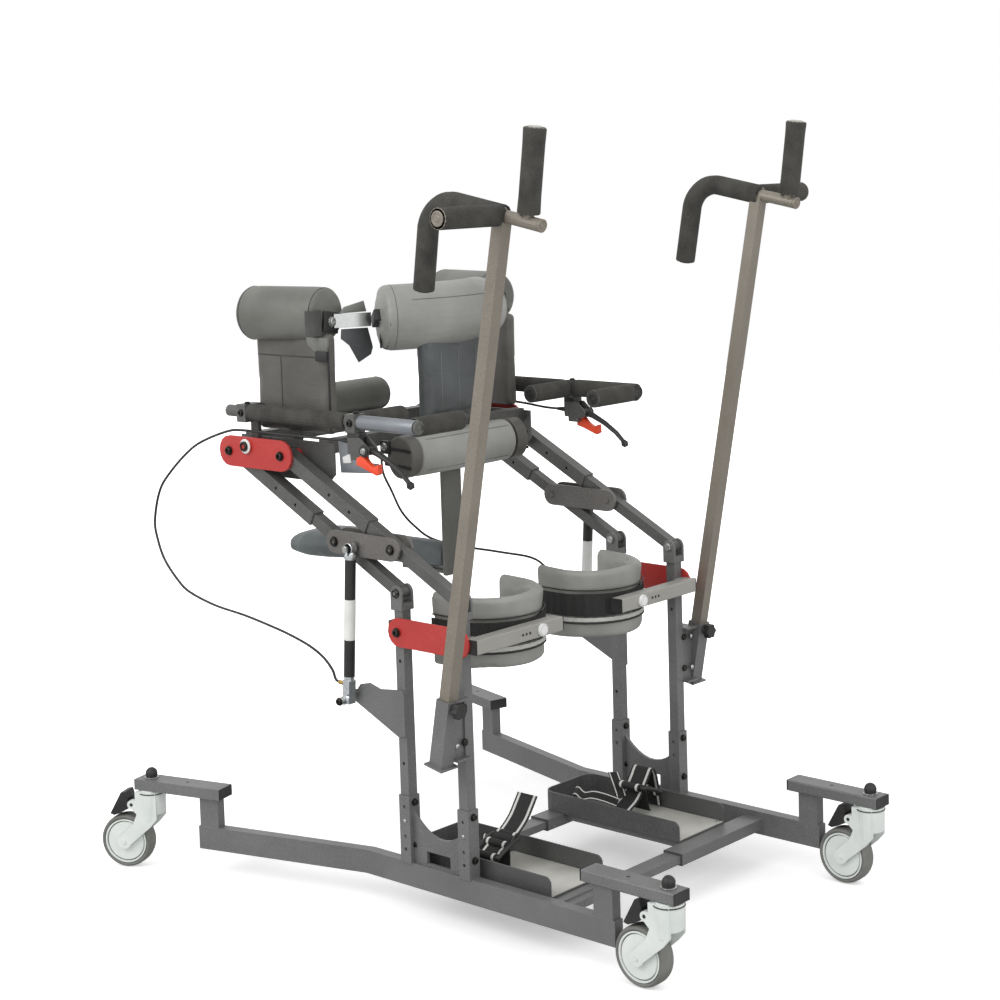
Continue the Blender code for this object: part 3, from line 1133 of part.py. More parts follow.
def cable(side, points, radius):
    """A release cable, whole along its route, as a bevelled curve with filled ends."""
    route, length = smooth_route([with_carriage(p) for p in points], radius * 8)
    if side == "left":
        route = [Vector((p.x, -p.y, p.z)) for p in route]
    curve = bpy.data.curves.new("release_cable_" + side, "CURVE")
    curve.dimensions = "3D"
    spline = curve.splines.new("POLY")
    spline.points.add(len(route) - 1)
    for point, place in zip(spline.points, route):
        point.co = (*place, 1.0)
    curve.bevel_depth = radius
    curve.bevel_resolution = 2
    curve.use_fill_caps = True
    curve.materials.append(PLASTIC_BLACK)
    obj = bpy.data.objects.new("release_cable_" + side, curve)
    bpy.context.scene.collection.objects.link(obj)
    print("release cable", side, "length", round(length, 3))


CABLE_R = 0.0024
HOUSING_BACK = SIDE_CLAMP_X - 0.010 - GAP
GAS_HEAD_BACK = Vector((GAS_FOOT[0] - 0.0085 - GAP, -GAS_Y, GAS_FOOT[1] + 0.024))
NEAR_ROUTE = [
    (HOUSING_BACK, -BAR_Y, 0.8190), (HOUSING_BACK - 0.022, -BAR_Y, 0.8190), (-0.170, -0.2930, 0.8200),
    (-0.280, -0.300, 0.8210), (-0.380, -0.300, 0.8210), (-0.4236, -0.300, 0.8165), (-0.4908, -0.300, 0.7953),
    (-0.5361, -0.300, 0.7732), (-0.5927, -0.300, 0.7308), (-0.6321, -0.300, 0.6892),
    (-0.6520, -0.300, 0.6295), (-0.6457, -0.300, 0.5914), (-0.6272, -0.300, 0.5547),
    (-0.5904, -0.300, 0.5202), (-0.5550, -0.301, 0.5015), (-0.4807, -0.303, 0.4863),
    (-0.3925, -0.306, 0.4790), (-0.3205, -0.309, 0.4702), (-0.2650, -0.311, 0.4615),
    (-0.2102, -0.313, 0.4490), (-0.1720, -0.315, 0.4340), (-0.1480, -0.3160, 0.4150),
    (GAS_HEAD_BACK.x - 0.022, -GAS_Y, GAS_HEAD_BACK.z + 0.002), tuple(GAS_HEAD_BACK)]
FAR_ROUTE = [
    (HOUSING_BACK, -BAR_Y, 0.8100), (HOUSING_BACK - 0.022, -BAR_Y, 0.8100), (-0.170, -0.2840, 0.8110),
    (-0.2226, -0.2740, 0.8180), (-0.280, -0.2590, 0.8220), (-0.335, -0.2538, 0.8200),
    (-0.375, -0.2535, 0.8200), (-0.412, -0.2530, 0.8200), (-0.438, -0.2350, 0.8150), (-0.450, -0.2000, 0.8000),
    (-0.454, -0.1600, 0.7750), (-0.452, -0.1150, 0.7300), (-0.434, -0.0930, 0.6900),
    (-0.410, -0.0930, 0.6500), (-0.396, -0.1050, 0.6080), (-0.394, -0.1400, 0.5720),
    (-0.390, -0.1800, 0.5430), (-0.361, -0.2300, 0.5225), (-0.293, -0.2750, 0.5100),
    (-0.222, -0.3050, 0.4970), (-0.180, -0.3145, 0.4550), (-0.156, -0.3163, 0.4130),
    (GAS_HEAD_BACK.x - 0.022, -GAS_Y, GAS_HEAD_BACK.z + 0.002), tuple(GAS_HEAD_BACK)]

for side in SIDES:
    frame_half(side)
    tray(side)
    foot_strap(side)
    castor("front", side)
    castor("rear", side)
    leg_post("rear", side)
    leg_post("front", side)
    brace_link(side)
    knee_support(side)
    arm("rear", side, None)
    arm("front", side, None)
    mid_link(side)
    gas_spring(side)
    handle_post(side)
    handle_knob(side)

carriage = pivot("carriage_pivot", (HIPS["rear"].x, 0, HIPS["rear"].z))
carriage_frame(carriage)
seat(carriage)
trunk_supports(carriage)
for side in SIDES:
    hip_plate(side, carriage)
    lateral_support(side, carriage)
    side_foam(side, carriage)
    brake_lever(side, carriage)
cable("right", NEAR_ROUTE, CABLE_R)
cable("left", FAR_ROUTE, CABLE_R)

# The frame is drawn about its leg posts, then moved so that the origin is under its middle
for obj in bpy.context.scene.objects:
    if obj.parent is None:
        obj.location.x += MIDDLE_X
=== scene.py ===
# %% [markdown]
# # A manual stander, dressed
# A standing frame on four castors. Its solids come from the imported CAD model, and this lesson
# gives them paint, plastic, foam and vinyl, and adds the pieces that a CAD model leaves out: soft
# pads, webbing, bolts, caps, grips and cables. The frame is loaded first, because every piece
# takes its place from it.

# %% Load the frame
import math

import bpy
from mathutils import Matrix, Vector


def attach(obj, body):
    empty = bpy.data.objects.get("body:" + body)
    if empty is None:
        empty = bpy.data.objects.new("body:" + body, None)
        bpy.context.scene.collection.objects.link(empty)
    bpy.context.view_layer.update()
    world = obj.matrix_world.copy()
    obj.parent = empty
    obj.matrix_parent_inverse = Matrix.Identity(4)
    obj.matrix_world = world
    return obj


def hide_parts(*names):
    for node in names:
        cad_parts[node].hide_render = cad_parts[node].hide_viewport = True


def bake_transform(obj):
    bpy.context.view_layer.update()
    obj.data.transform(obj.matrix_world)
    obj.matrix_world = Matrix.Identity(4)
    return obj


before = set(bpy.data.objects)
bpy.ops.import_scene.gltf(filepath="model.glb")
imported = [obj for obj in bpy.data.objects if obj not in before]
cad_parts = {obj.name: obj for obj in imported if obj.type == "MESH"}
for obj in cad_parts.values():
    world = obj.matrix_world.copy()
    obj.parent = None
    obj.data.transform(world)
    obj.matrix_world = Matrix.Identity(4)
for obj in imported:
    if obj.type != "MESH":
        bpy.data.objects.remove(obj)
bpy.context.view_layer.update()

# %% [markdown]
# The drawing of the stander was made about the kink of its rails, and the finished model is
# centred on the floor. One function adds that step, so each place below can be read off the
# drawing. Points on the right side have a negative y, and the left side mirrors them.

# %% Places on the drawing
MIDDLE = 0.0281
DEG = math.pi / 180


def at(x, y, z):
    """A point of the drawing, in the model's frame."""
    return Vector((x + MIDDLE, y, z))


RAIL_Y = 0.2865
SPLAY = 15 * DEG
SPLAY_DIR = Vector((-math.cos(SPLAY), -math.sin(SPLAY), 0))
FRONT_STEM = at(0.573, -RAIL_Y, 0)
REAR_STEM = at(-0.100, -RAIL_Y, 0) + SPLAY_DIR * 0.472
print("castor stems at", FRONT_STEM[:], REAR_STEM[:])

# %% [markdown]
# The camera stands low, in front of the stander's right side, as the photographer stood. Its
# lens, height and turn were worked out from straight edges whose places on the frame are known.
# The small roll and shift keep the uprights where the picture has them.

# %% Camera
AZIMUTH, DIP, ROLL = 40.5967 * DEG, 5.8965 * DEG, -1.5056 * DEG
camera = bpy.data.objects.new("camera", bpy.data.cameras.new("camera"))
bpy.context.scene.collection.objects.link(camera)
look = Vector((-math.sin(AZIMUTH) * math.cos(DIP), math.cos(AZIMUTH) * math.cos(DIP), -math.sin(DIP)))
level = Vector((math.cos(AZIMUTH), math.sin(AZIMUTH), 0))
above = level.cross(look)
right = level * math.cos(ROLL) + above * math.sin(ROLL)
up = above * math.cos(ROLL) - level * math.sin(ROLL)
camera.matrix_world = Matrix.Translation(at(2.5002, -2.6869, 1.3101)) @ Matrix(
    (right, up, -look)).transposed().to_4x4()
camera.data.lens = 73.80
camera.data.sensor_width = 36.0
camera.data.shift_x = -0.0912
camera.data.shift_y = -0.1383
bpy.context.scene.camera = camera
print("camera at", camera.location[:], "lens", camera.data.lens)

# %% [markdown]
# The release cables come next, because they are the only slack things on the stander. Each is one
# length of 4.8 mm black cable, from a hand lever's housing to the head of a gas spring. A curve
# through listed points gives its lazy loop. The loop hangs between the fixed base, the thigh arm
# and the moving carriage, so the tube is made in two lengths that meet in the middle of the loop.

# %% Cable routes
CABLE_R = 0.0024
RIGHT_ROUTE = [
    (-0.1103, -0.2850, 0.8190), (-0.1323, -0.2850, 0.8190), (-0.170, -0.293, 0.8200),
    (-0.280, -0.300, 0.8210), (-0.380, -0.300, 0.8210), (-0.4236, -0.300, 0.8165),
    (-0.4908, -0.300, 0.7953), (-0.5361, -0.300, 0.7732), (-0.5927, -0.300, 0.7308),
    (-0.6321, -0.300, 0.6892), (-0.6520, -0.300, 0.6295), (-0.6457, -0.300, 0.5914),
    (-0.6272, -0.300, 0.5547), (-0.5904, -0.300, 0.5202), (-0.5550, -0.301, 0.5015),
    (-0.4807, -0.303, 0.4863), (-0.3925, -0.306, 0.4790), (-0.3205, -0.309, 0.4702),
    (-0.2650, -0.311, 0.4615), (-0.2102, -0.313, 0.4490), (-0.1720, -0.315, 0.4340),
    (-0.1480, -0.316, 0.4150), (-0.1378, -0.3165, 0.3980), (-0.1158, -0.3165, 0.3960)]
LEFT_ROUTE = [
    (-0.1103, 0.2850, 0.8100), (-0.1323, 0.2850, 0.8100), (-0.170, 0.284, 0.8110),
    (-0.2226, 0.274, 0.8180), (-0.280, 0.259, 0.8220), (-0.335, 0.2538, 0.8200),
    (-0.375, 0.2535, 0.8200), (-0.412, 0.253, 0.8200), (-0.438, 0.235, 0.8150),
    (-0.450, 0.200, 0.8000), (-0.454, 0.160, 0.7750), (-0.452, 0.115, 0.7300),
    (-0.434, 0.093, 0.6900), (-0.410, 0.093, 0.6500), (-0.396, 0.105, 0.6080),
    (-0.394, 0.140, 0.5720), (-0.390, 0.180, 0.5430), (-0.361, 0.230, 0.5225),
    (-0.293, 0.275, 0.5100), (-0.222, 0.305, 0.4970), (-0.180, 0.3145, 0.4550),
    (-0.156, 0.3163, 0.4130), (-0.1378, 0.3165, 0.3980), (-0.1158, 0.3165, 0.3960)]
MEETING = {"right": 10, "left": 13}


def smooth_curve(points, steps=6):
    """A smooth line through the points, with a few steps between each two."""
    pts = [at(*p) for p in points]
    out = []
    for i in range(len(pts) - 1):
        a, b, c, d = pts[max(i - 1, 0)], pts[i], pts[i + 1], pts[min(i + 2, len(pts) - 1)]
        for k in range(steps):
            t = k / steps
            out.append(0.5 * (2 * b + (c - a) * t + (2 * a - 5 * b + 4 * c - d) * t * t
                              + (3 * b - a - 3 * c + d) * t ** 3))
    return out + [pts[-1]]


def length_of(path):
    """The length of a line through points."""
    return sum((q - p).length for p, q in zip(path, path[1:]))


cable_paths = {}
for side, route in (("right", RIGHT_ROUTE), ("left", LEFT_ROUTE)):
    whole = smooth_curve(route)
    split = MEETING[side] * 6
    cable_paths[side] = (whole[:split + 1], whole[split:])
    print("cable", side, "length", round(length_of(whole), 3))

# %% [markdown]
# A bent bar, whether a cable, a foam grip or a wire, is a curve with a round bevel. Blender turns
# it into a mesh tube, and the radius may change along it, which rounds the ends. A piece's place is
# put into its mesh and shaded as it is made, and one small function gives every finished piece a
# material and fixes it to the CAD body that carries it.

# %% Helpers for bars and for fitting a piece
def clear():
    """Leave edit mode and deselect everything."""
    if bpy.context.object and bpy.context.object.mode != "OBJECT":
        bpy.ops.object.mode_set(mode="OBJECT")
    bpy.ops.object.select_all(action="DESELECT")


def only(piece):
    """Select one piece and make it active."""
    clear()
    piece.select_set(True)
    bpy.context.view_layer.objects.active = piece


def settle(piece, smooth=35):
    """Put a piece's place into its mesh and shade it smooth up to an angle in degrees."""
    only(piece)
    bpy.ops.object.transform_apply(location=True, rotation=True, scale=True)
    bpy.ops.object.shade_smooth_by_angle(angle=smooth * DEG)
    return piece


def bent_bar(points, radii, sides=12):
    """A round bar along points, with a radius at each; closed at both ends."""
    curve = bpy.data.curves.new("bar", "CURVE")
    curve.dimensions = "3D"
    line = curve.splines.new("POLY")
    line.points.add(len(points) - 1)
    for knot, place, radius in zip(line.points, points, radii):
        knot.co = (*place, 1)
        knot.radius = radius
    curve.bevel_depth = 1.0
    curve.bevel_resolution = max(0, sides // 4 - 1)
    curve.use_fill_caps = True
    bar = bpy.data.objects.new("bar", curve)
    bpy.context.scene.collection.objects.link(bar)
    only(bar)
    bpy.ops.object.convert(target="MESH")
    return settle(bpy.context.object, 50)


def fit(piece, name, material, body):
    """Name a finished piece, give it its material, and let it ride on its CAD body."""
    piece.name = piece.data.name = name
    piece.data.materials.clear()
    piece.data.materials.append(material)
    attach(piece, body)
    return piece

# %% [markdown]
# ## Finishes
# Every finish is a small network of nodes. A colour is written as the sRGB hex value that a paint
# chart would give, and turned to linear once. One function adds a node with its settings and its
# links, so a network reads from top to bottom. Patterns read Object coordinates, which are metres
# on the stander, so a noise scale of 1 / 0.002 has grains of 2 mm.

# %% Helpers for materials
def colour(hex_value):
    """An sRGB hex colour as linear values."""
    parts = [int(hex_value[i:i + 2], 16) / 255 for i in (1, 3, 5)]
    return [p / 12.92 if p <= 0.04045 else ((p + 0.055) / 1.055) ** 2.4 for p in parts] + [1.0]


def node(tree, kind, settings=None, **links):
    """Add a node, set its values by name, and link its inputs from other nodes' outputs."""
    made = tree.nodes.new(kind)
    for key, value in (settings or {}).items():
        if isinstance(key, str) and hasattr(made, key):
            setattr(made, key, value)
        else:
            made.inputs[key].default_value = value
    for key, source in links.items():
        tree.links.new(source, made.inputs[int(key[1:]) if key[0] == "i" and key[1:].isdigit()
                                           else key.replace("_", " ")])
    return made


def new_material(name):
    """An empty material, its node tree, its shader and its object coordinates."""
    material = bpy.data.materials.new(name)
    material.use_nodes = True
    tree = material.node_tree
    shader = tree.nodes["Principled BSDF"]
    place = node(tree, "ShaderNodeTexCoord").outputs["Object"]
    return material, tree, shader, place


def ramp(tree, source, stops):
    """A colour ramp over (position, hex) stops."""
    made = node(tree, "ShaderNodeValToRGB", Fac=source)
    while len(made.color_ramp.elements) < len(stops):
        made.color_ramp.elements.new(0.5)
    for element, (place, value) in zip(made.color_ramp.elements, stops):
        element.position = place
        element.color = colour(value)
    return made.outputs["Color"]


print("colour check", [round(c, 3) for c in colour("#808080")])

# %% [markdown]
# Powder coat is a plastic powder baked on steel: a satin skin with a fine orange peel and, here,
# a metallic fleck. Its fleck is finer than a pixel, so it is drawn 2.5 mm coarse. The Bevel node
# rounds the light on every edge of a tube by 1 mm, and comparing its normal with the flat one
# finds those edges, where the coat is painted lighter as a highlight.

# %% Powder coats
def powder_coat(name, base, light, dark, rough=0.42, metal=0.25, fleck=0.0025, spread=0.5, radius=0.0012):
    """A satin powder coat with flecks between a dark and a light tone, and a painted highlight on its
    edges.
    """
    material, tree, shader, place = new_material(name)
    grain = node(tree, "ShaderNodeTexNoise", {"Scale": 1 / fleck, "Detail": 2.0}, Vector=place)
    cloud = node(tree, "ShaderNodeTexNoise", {"Scale": 1 / 0.09, "Detail": 3.0}, Vector=place)
    both = node(tree, "ShaderNodeMath", {"operation": "MULTIPLY_ADD", 1: spread,
                                         2: 0.5 - spread / 2 - 0.12},
                i0=grain.outputs["Fac"])
    mixed = node(tree, "ShaderNodeMath", {"operation": "MULTIPLY_ADD", 1: 0.24}, i0=cloud.outputs["Fac"],
                 i2=both.outputs[0])
    tone = ramp(tree, mixed.outputs[0], [(0.28, dark), (0.5, base), (0.72, light)])
    edge_normal = node(tree, "ShaderNodeBevel", {"samples": 4, "Radius": radius})
    flat = node(tree, "ShaderNodeNewGeometry")
    facing = node(tree, "ShaderNodeVectorMath", {"operation": "DOT_PRODUCT"}, i0=edge_normal.outputs[0],
                  i1=flat.outputs["Normal"])
    edge = node(tree, "ShaderNodeMapRange",
                {"From Min": 0.985, "From Max": 0.80, "To Min": 0.0, "To Max": 0.55},
                Value=facing.outputs["Value"])
    # Painted highlight: the coat's edges are mixed toward the light tone.
    painted_edge_highlight = node(tree, "ShaderNodeMix", {"data_type": "RGBA", 7: colour(light)}, i0=edge.outputs[0], i6=tone)
    tree.links.new(painted_edge_highlight.outputs[2], shader.inputs["Base Color"])
    shine = node(tree, "ShaderNodeMapRange", {"To Min": rough - 0.07, "To Max": rough + 0.09},
                 Value=grain.outputs["Fac"])
    tree.links.new(shine.outputs[0], shader.inputs["Roughness"])
    peel = node(tree, "ShaderNodeBump", {"Strength": 0.18, "Distance": 0.0006}, Height=grain.outputs["Fac"],
                Normal=edge_normal.outputs[0])
    tree.links.new(peel.outputs[0], shader.inputs["Normal"])
    shader.inputs["Metallic"].default_value = metal
    return material


GREY_COAT = powder_coat("powder_coat_grey", "#767776", "#8e8f8e", "#5d5e5d", fleck=0.0019)
DARK_COAT = powder_coat("powder_coat_dark_grey", "#5f5f5d", "#7b7b79", "#464644", fleck=0.0019)
LINK_COAT = powder_coat("powder_coat_umber_grey", "#706d6a", "#8a8784", "#565350", fleck=0.0019)
BROWN_COAT = powder_coat("powder_coat_brown_grey", "#8a8378", "#a09a8f", "#716a61", fleck=0.0019,
                         spread=0.4)
RED_COAT = powder_coat("powder_coat_red", "#c23a36", "#d8625c", "#9c2c29", metal=0.05, spread=0.25)
PALE_COAT = powder_coat("powder_coat_pale_grey", "#a3a19b", "#bcbab4", "#8a8883", metal=0.1, spread=0.25)
SEAT_COAT = powder_coat("powder_coat_seat_post", "#62625d", "#7a7a75", "#4c4c48", metal=0.15, spread=0.3)
BLUE_COAT = powder_coat("powder_coat_blue_grey", "#8a8e93", "#a8acb0", "#6c7074", metal=0.5, spread=0.18)
TRAY_COAT = powder_coat("sheet_dark_grey", "#5a5b5a", "#7c7d7c", "#3e3f3e", metal=0.15, spread=0.3)
print("powder coats", [m.name for m in (GREY_COAT, DARK_COAT, LINK_COAT, BROWN_COAT, RED_COAT, PALE_COAT,
                                           SEAT_COAT, BLUE_COAT, TRAY_COAT)])

# %% [markdown]
# Moulded plastics are smoother. The castors are pale nylon with a faint moulded texture, the
# levers, caps and pedals a black one with a coarser spark-eroded grain. The knob of a plastic's
# look is its gloss: nylon near 0.35, textured polypropylene near 0.55.

# %% Plastics and rubber
def moulded(name, base, shade, rough, grain=0.002, depth=0.3, radius=0.0008):
    """A moulded plastic: a slow change of tone, a grain in the gloss and on the surface."""
    material, tree, shader, place = new_material(name)
    cloud = node(tree, "ShaderNodeTexNoise", {"Scale": 1 / 0.05, "Detail": 4.0}, Vector=place)
    tone = ramp(tree, cloud.outputs["Fac"], [(0.35, shade), (0.62, base)])
    tree.links.new(tone, shader.inputs["Base Color"])
    spark = node(tree, "ShaderNodeTexNoise", {"Scale": 1 / grain, "Detail": 2.0}, Vector=place)
    shine = node(tree, "ShaderNodeMapRange", {"To Min": rough - 0.06, "To Max": rough + 0.08},
                 Value=spark.outputs["Fac"])
    tree.links.new(shine.outputs[0], shader.inputs["Roughness"])
    rounded = node(tree, "ShaderNodeBevel", {"samples": 4, "Radius": radius})
    bump = node(tree, "ShaderNodeBump", {"Strength": depth, "Distance": 0.0005},
                Height=spark.outputs["Fac"],
                Normal=rounded.outputs[0])
    tree.links.new(bump.outputs[0], shader.inputs["Normal"])
    return material


PALE_NYLON = moulded("nylon_pale", "#eef2ef", "#e2e8e4", 0.36, depth=0.06)
WHITE_CAP = moulded("polyethylene_white", "#f2f3f0", "#e6e7e3", 0.40, depth=0.06)
BLACK_PLASTIC = moulded("polypropylene_black", "#2b2b2a", "#1c1c1c", 0.46, grain=0.0022, depth=0.35)
ORANGE_PLASTIC = moulded("nylon_orange_red", "#ff5a36", "#f04a28", 0.38, depth=0.08)
TYRE_RUBBER = moulded("tyre_rubber_grey", "#80817d", "#70716c", 0.62, depth=0.25)
# A dark finish for thin pieces of painted shade in recesses, gaps, seams and folds.
PAINTED_SHADE_LINE = moulded("shadow_groove", "#4a4d4b", "#3c3f3d", 0.7, depth=0.1)
MAT_INSERT = moulded("tray_mat_pale", "#cbcac4", "#bbbab2", 0.55, grain=0.003, depth=0.35)
print("plastics done")

# %% [markdown]
# Bright metal: the gas springs' rods and heads are hard chrome, and the screws are zinc plated.
# Both are pure metals to the shader, so only their tint, gloss and fine marks differ. The fine
# marks are a noise in their tone and gloss.

# %% Bright metals
def plated(name, base, shade, rough, grain=0.003, depth=0.1, radius=0.0007):
    """A plated metal with a slight mottling of gloss and tone."""
    material, tree, shader, place = new_material(name)
    mark = node(tree, "ShaderNodeTexNoise", {"Scale": 1 / grain, "Detail": 3.0}, Vector=place)
    tone = ramp(tree, mark.outputs["Fac"], [(0.35, shade), (0.62, base)])
    tree.links.new(tone, shader.inputs["Base Color"])
    shine = node(tree, "ShaderNodeMapRange", {"To Min": rough - 0.06, "To Max": rough + 0.1},
                 Value=mark.outputs["Fac"])
    tree.links.new(shine.outputs[0], shader.inputs["Roughness"])
    rounded = node(tree, "ShaderNodeBevel", {"samples": 4, "Radius": radius})
    bump = node(tree, "ShaderNodeBump", {"Strength": depth, "Distance": 0.0003}, Height=mark.outputs["Fac"],
                Normal=rounded.outputs[0])
    tree.links.new(bump.outputs[0], shader.inputs["Normal"])
    shader.inputs["Metallic"].default_value = 1.0
    return material


CHROME = plated("hard_chrome", "#e3e6e8", "#c2c6ca", 0.16)
ZINC = plated("zinc_plate", "#c9cbc9", "#9a9c99", 0.32)
ALUMINIUM = plated("satin_aluminium", "#d6d8d7", "#c0c3c1", 0.30, grain=0.0012, depth=0.03)
DARK_STEEL = plated("black_oxide_steel", "#4a4845", "#2b2a28", 0.38)
print("metals done")

# %% [markdown]
# The grips are closed-cell foam tube: matt, near black, with a skin of tiny broken cells. Real
# cells are about 0.5 mm, drawn at 1.8 mm. The pads are covered in grey vinyl, a PVC film on
# knitted cloth: it has a leather grain of about 1.5 mm, drawn at 2.5 mm, soft creases where it is
# pulled over an edge, and a low sheen.

# %% Foam and vinyl
def foam(name, base, shade):
    """Closed-cell foam: broken cells in tone and relief, and no gloss."""
    material, tree, shader, place = new_material(name)
    cells = node(tree, "ShaderNodeTexVoronoi", {"Scale": 1 / 0.0018}, Vector=place)
    cloud = node(tree, "ShaderNodeTexNoise", {"Scale": 1 / 0.03, "Detail": 5.0}, Vector=place)
    mixed = node(tree, "ShaderNodeMath", {"operation": "MULTIPLY_ADD", 1: 0.35},
                 i0=cells.outputs["Distance"],
                 i2=cloud.outputs["Fac"])
    tone = ramp(tree, mixed.outputs[0], [(0.35, shade), (0.85, base)])
    tree.links.new(tone, shader.inputs["Base Color"])
    relief = node(tree, "ShaderNodeBump", {"Strength": 0.5, "Distance": 0.0008}, Height=mixed.outputs[0])
    tree.links.new(relief.outputs[0], shader.inputs["Normal"])
    shader.inputs["Roughness"].default_value = 0.88
    return material


def vinyl(name, base, light, shade, creases=0.35):
    """Grained upholstery vinyl: leather grain, soft creases, slow stretch marks in the tone."""
    material, tree, shader, place = new_material(name)
    grain = node(tree, "ShaderNodeTexVoronoi", {"Scale": 1 / 0.0025, "feature": "SMOOTH_F1"}, Vector=place)
    stretch = node(tree, "ShaderNodeMapping", {"Scale": (7.0, 7.0, 16.0)}, Vector=place)
    crease = node(tree, "ShaderNodeTexNoise",
                  {"Scale": 1.6, "Detail": 4.0, "Roughness": 0.55, "Distortion": 0.6},
                  Vector=stretch.outputs[0])
    cloud = node(tree, "ShaderNodeTexNoise", {"Scale": 1 / 0.12, "Detail": 3.0}, Vector=place)
    tone = ramp(tree, cloud.outputs["Fac"], [(0.32, shade), (0.5, base), (0.7, light)])
    tree.links.new(tone, shader.inputs["Base Color"])
    shine = node(tree, "ShaderNodeMapRange", {"To Min": 0.40, "To Max": 0.58},
                 Value=grain.outputs["Distance"])
    tree.links.new(shine.outputs[0], shader.inputs["Roughness"])
    folds = node(tree, "ShaderNodeBump", {"Strength": creases, "Distance": 0.006},
                 Height=crease.outputs["Fac"])
    skin = node(tree, "ShaderNodeBump", {"Strength": 0.16, "Distance": 0.0006},
                Height=grain.outputs["Distance"],
                Normal=folds.outputs[0])
    tree.links.new(skin.outputs[0], shader.inputs["Normal"])
    return material


FOAM_BLACK = foam("closed_cell_foam", "#4a4945", "#2d2c2a")
VINYL_LIGHT = vinyl("vinyl_light_grey", "#989994", "#a5a6a1", "#8a8b86")
VINYL_PAD = vinyl("vinyl_pad_grey", "#82847f", "#90928d", "#747671")
VINYL_MID = vinyl("vinyl_mid_grey", "#6f6f6a", "#7d7d78", "#62625d")
VINYL_BROWN = vinyl("vinyl_umber_grey", "#595753", "#676560", "#4d4b47")
VINYL_SLATE = vinyl("vinyl_slate_grey", "#4d5051", "#5a5e5f", "#414445")
VINYL_CHAR = vinyl("vinyl_charcoal", "#434442", "#4f504e", "#383937")
VINYL_DARK = vinyl("vinyl_blue_grey", "#5f6566", "#6d7374", "#525758")
PIPING = vinyl("vinyl_piping", "#6c6f6c", "#7d807d", "#585b58", creases=0.1)
print("soft finishes done")

# %% [markdown]
# Webbing is woven polyester tape, black with two white edge stripes. The weave and the stripes
# must follow the tape, so they read its own UV map: U runs along the tape in metres, V across it
# from 0 to 1. Ribs are 2 mm apart.

# %% Webbing
def webbing(name, striped, dark="#161616", light="#2c2c2b"):
    """Woven tape with 2 mm ribs, and white stripes near both edges if striped."""
    material, tree, shader, place = new_material(name)
    uv = node(tree, "ShaderNodeUVMap", {"uv_map": "tape"}).outputs[0]
    parts = node(tree, "ShaderNodeSeparateXYZ", Vector=uv)
    rib = node(tree, "ShaderNodeTexWave", {"Scale": 1 / 0.002 / 6.283, "bands_direction": "X"}, Vector=uv)
    weave = node(tree, "ShaderNodeTexNoise", {"Scale": 1 / 0.0015, "Detail": 2.0}, Vector=place)
    tone = ramp(tree, weave.outputs["Fac"], [(0.35, dark), (0.65, light)])
    out = tone
    if striped:
        middle = node(tree, "ShaderNodeMath", {"operation": "SUBTRACT", 1: 0.5}, i0=parts.outputs["Y"])
        aside = node(tree, "ShaderNodeMath", {"operation": "ABSOLUTE"}, i0=middle.outputs[0])
        band = node(tree, "ShaderNodeMath", {"operation": "COMPARE", 1: 0.37, 2: 0.055},
                    i0=aside.outputs[0])
        mix = node(tree, "ShaderNodeMix", {"data_type": "RGBA", 7: colour("#dededa")},
                   i0=band.outputs[0], i6=tone)
        out = mix.outputs[2]
    tree.links.new(out, shader.inputs["Base Color"])
    relief = node(tree, "ShaderNodeBump", {"Strength": 0.5, "Distance": 0.0005}, Height=rib.outputs["Fac"])
    tree.links.new(relief.outputs[0], shader.inputs["Normal"])
    shader.inputs["Roughness"].default_value = 0.75
    return material


STRIPED_TAPE = webbing("webbing_black_striped", True)
PLAIN_TAPE = webbing("webbing_black", False)
PALE_TAPE = webbing("webbing_pale", False, "#b9b9b4", "#d2d2ce")
print("webbing done")

# %% [markdown]
# ## The CAD nodes that stay
# Wherever the solid's shape is right, it stays and only gets a finish. The table names each kind
# of node and its finish; left and right share one.

# %% Finishes on the CAD nodes
NODE_FINISH = {
    "frame": GREY_COAT, "leg_post_rear": GREY_COAT, "leg_post_front": GREY_COAT,
    "arm_rear": DARK_COAT, "arm_front": DARK_COAT, "mid_link": LINK_COAT, "hip_plate": RED_COAT,
    "brace_link": RED_COAT, "carriage_frame": DARK_COAT, "seat_post": SEAT_COAT,
    "handle_post": BROWN_COAT, "handle_knob": BLACK_PLASTIC, "knee_bar": PALE_COAT,
    "knee_cup": BLACK_PLASTIC, "tray": TRAY_COAT, "gas_cylinder": BLACK_PLASTIC, "gas_rod": CHROME,
    "caster_fork": PALE_NYLON, "caster_pedal": BLACK_PLASTIC, "caster_wheel": PALE_NYLON,
    "brake_lever": BLACK_PLASTIC, "side_foam": FOAM_BLACK, "release_cable": BLACK_PLASTIC,
    "foot_strap": PLAIN_TAPE, "knee_pad": VINYL_PAD, "saddle": VINYL_DARK,
    "chest_support": VINYL_LIGHT, "lateral_support": VINYL_MID, "pelvic_bolster": VINYL_LIGHT,
    "rear_pad": VINYL_MID}
for name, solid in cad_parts.items():
    stem = max((key for key in NODE_FINISH if name.startswith(key)), key=len)
    solid.data.materials.clear()
    solid.data.materials.append(NODE_FINISH[stem])
print("finished", len(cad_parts), "nodes")

# %% [markdown]
# The two lengths of each cable are drawn as tubes along their routes: the upper length between
# the thigh arm and the carriage, the lower one between the base and the thigh arm.

# %% Cables
for side in ("right", "left"):
    for part, path in zip(("upper", "lower"), cable_paths[side]):
        tube = bent_bar(path, [CABLE_R] * len(path), 12)
        tube.name = tube.data.name = "cable_%s_%s" % (part, side)
        tube.data.materials.append(BLACK_PLASTIC)
        if part == "upper":
            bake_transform(tube)
            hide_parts("release_cable_" + side)
            length_of(path)
        else:
            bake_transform(tube)
            length_of(path)
        print(tube.name, "length", round(length_of(path), 3), "faces", len(tube.data.polygons))

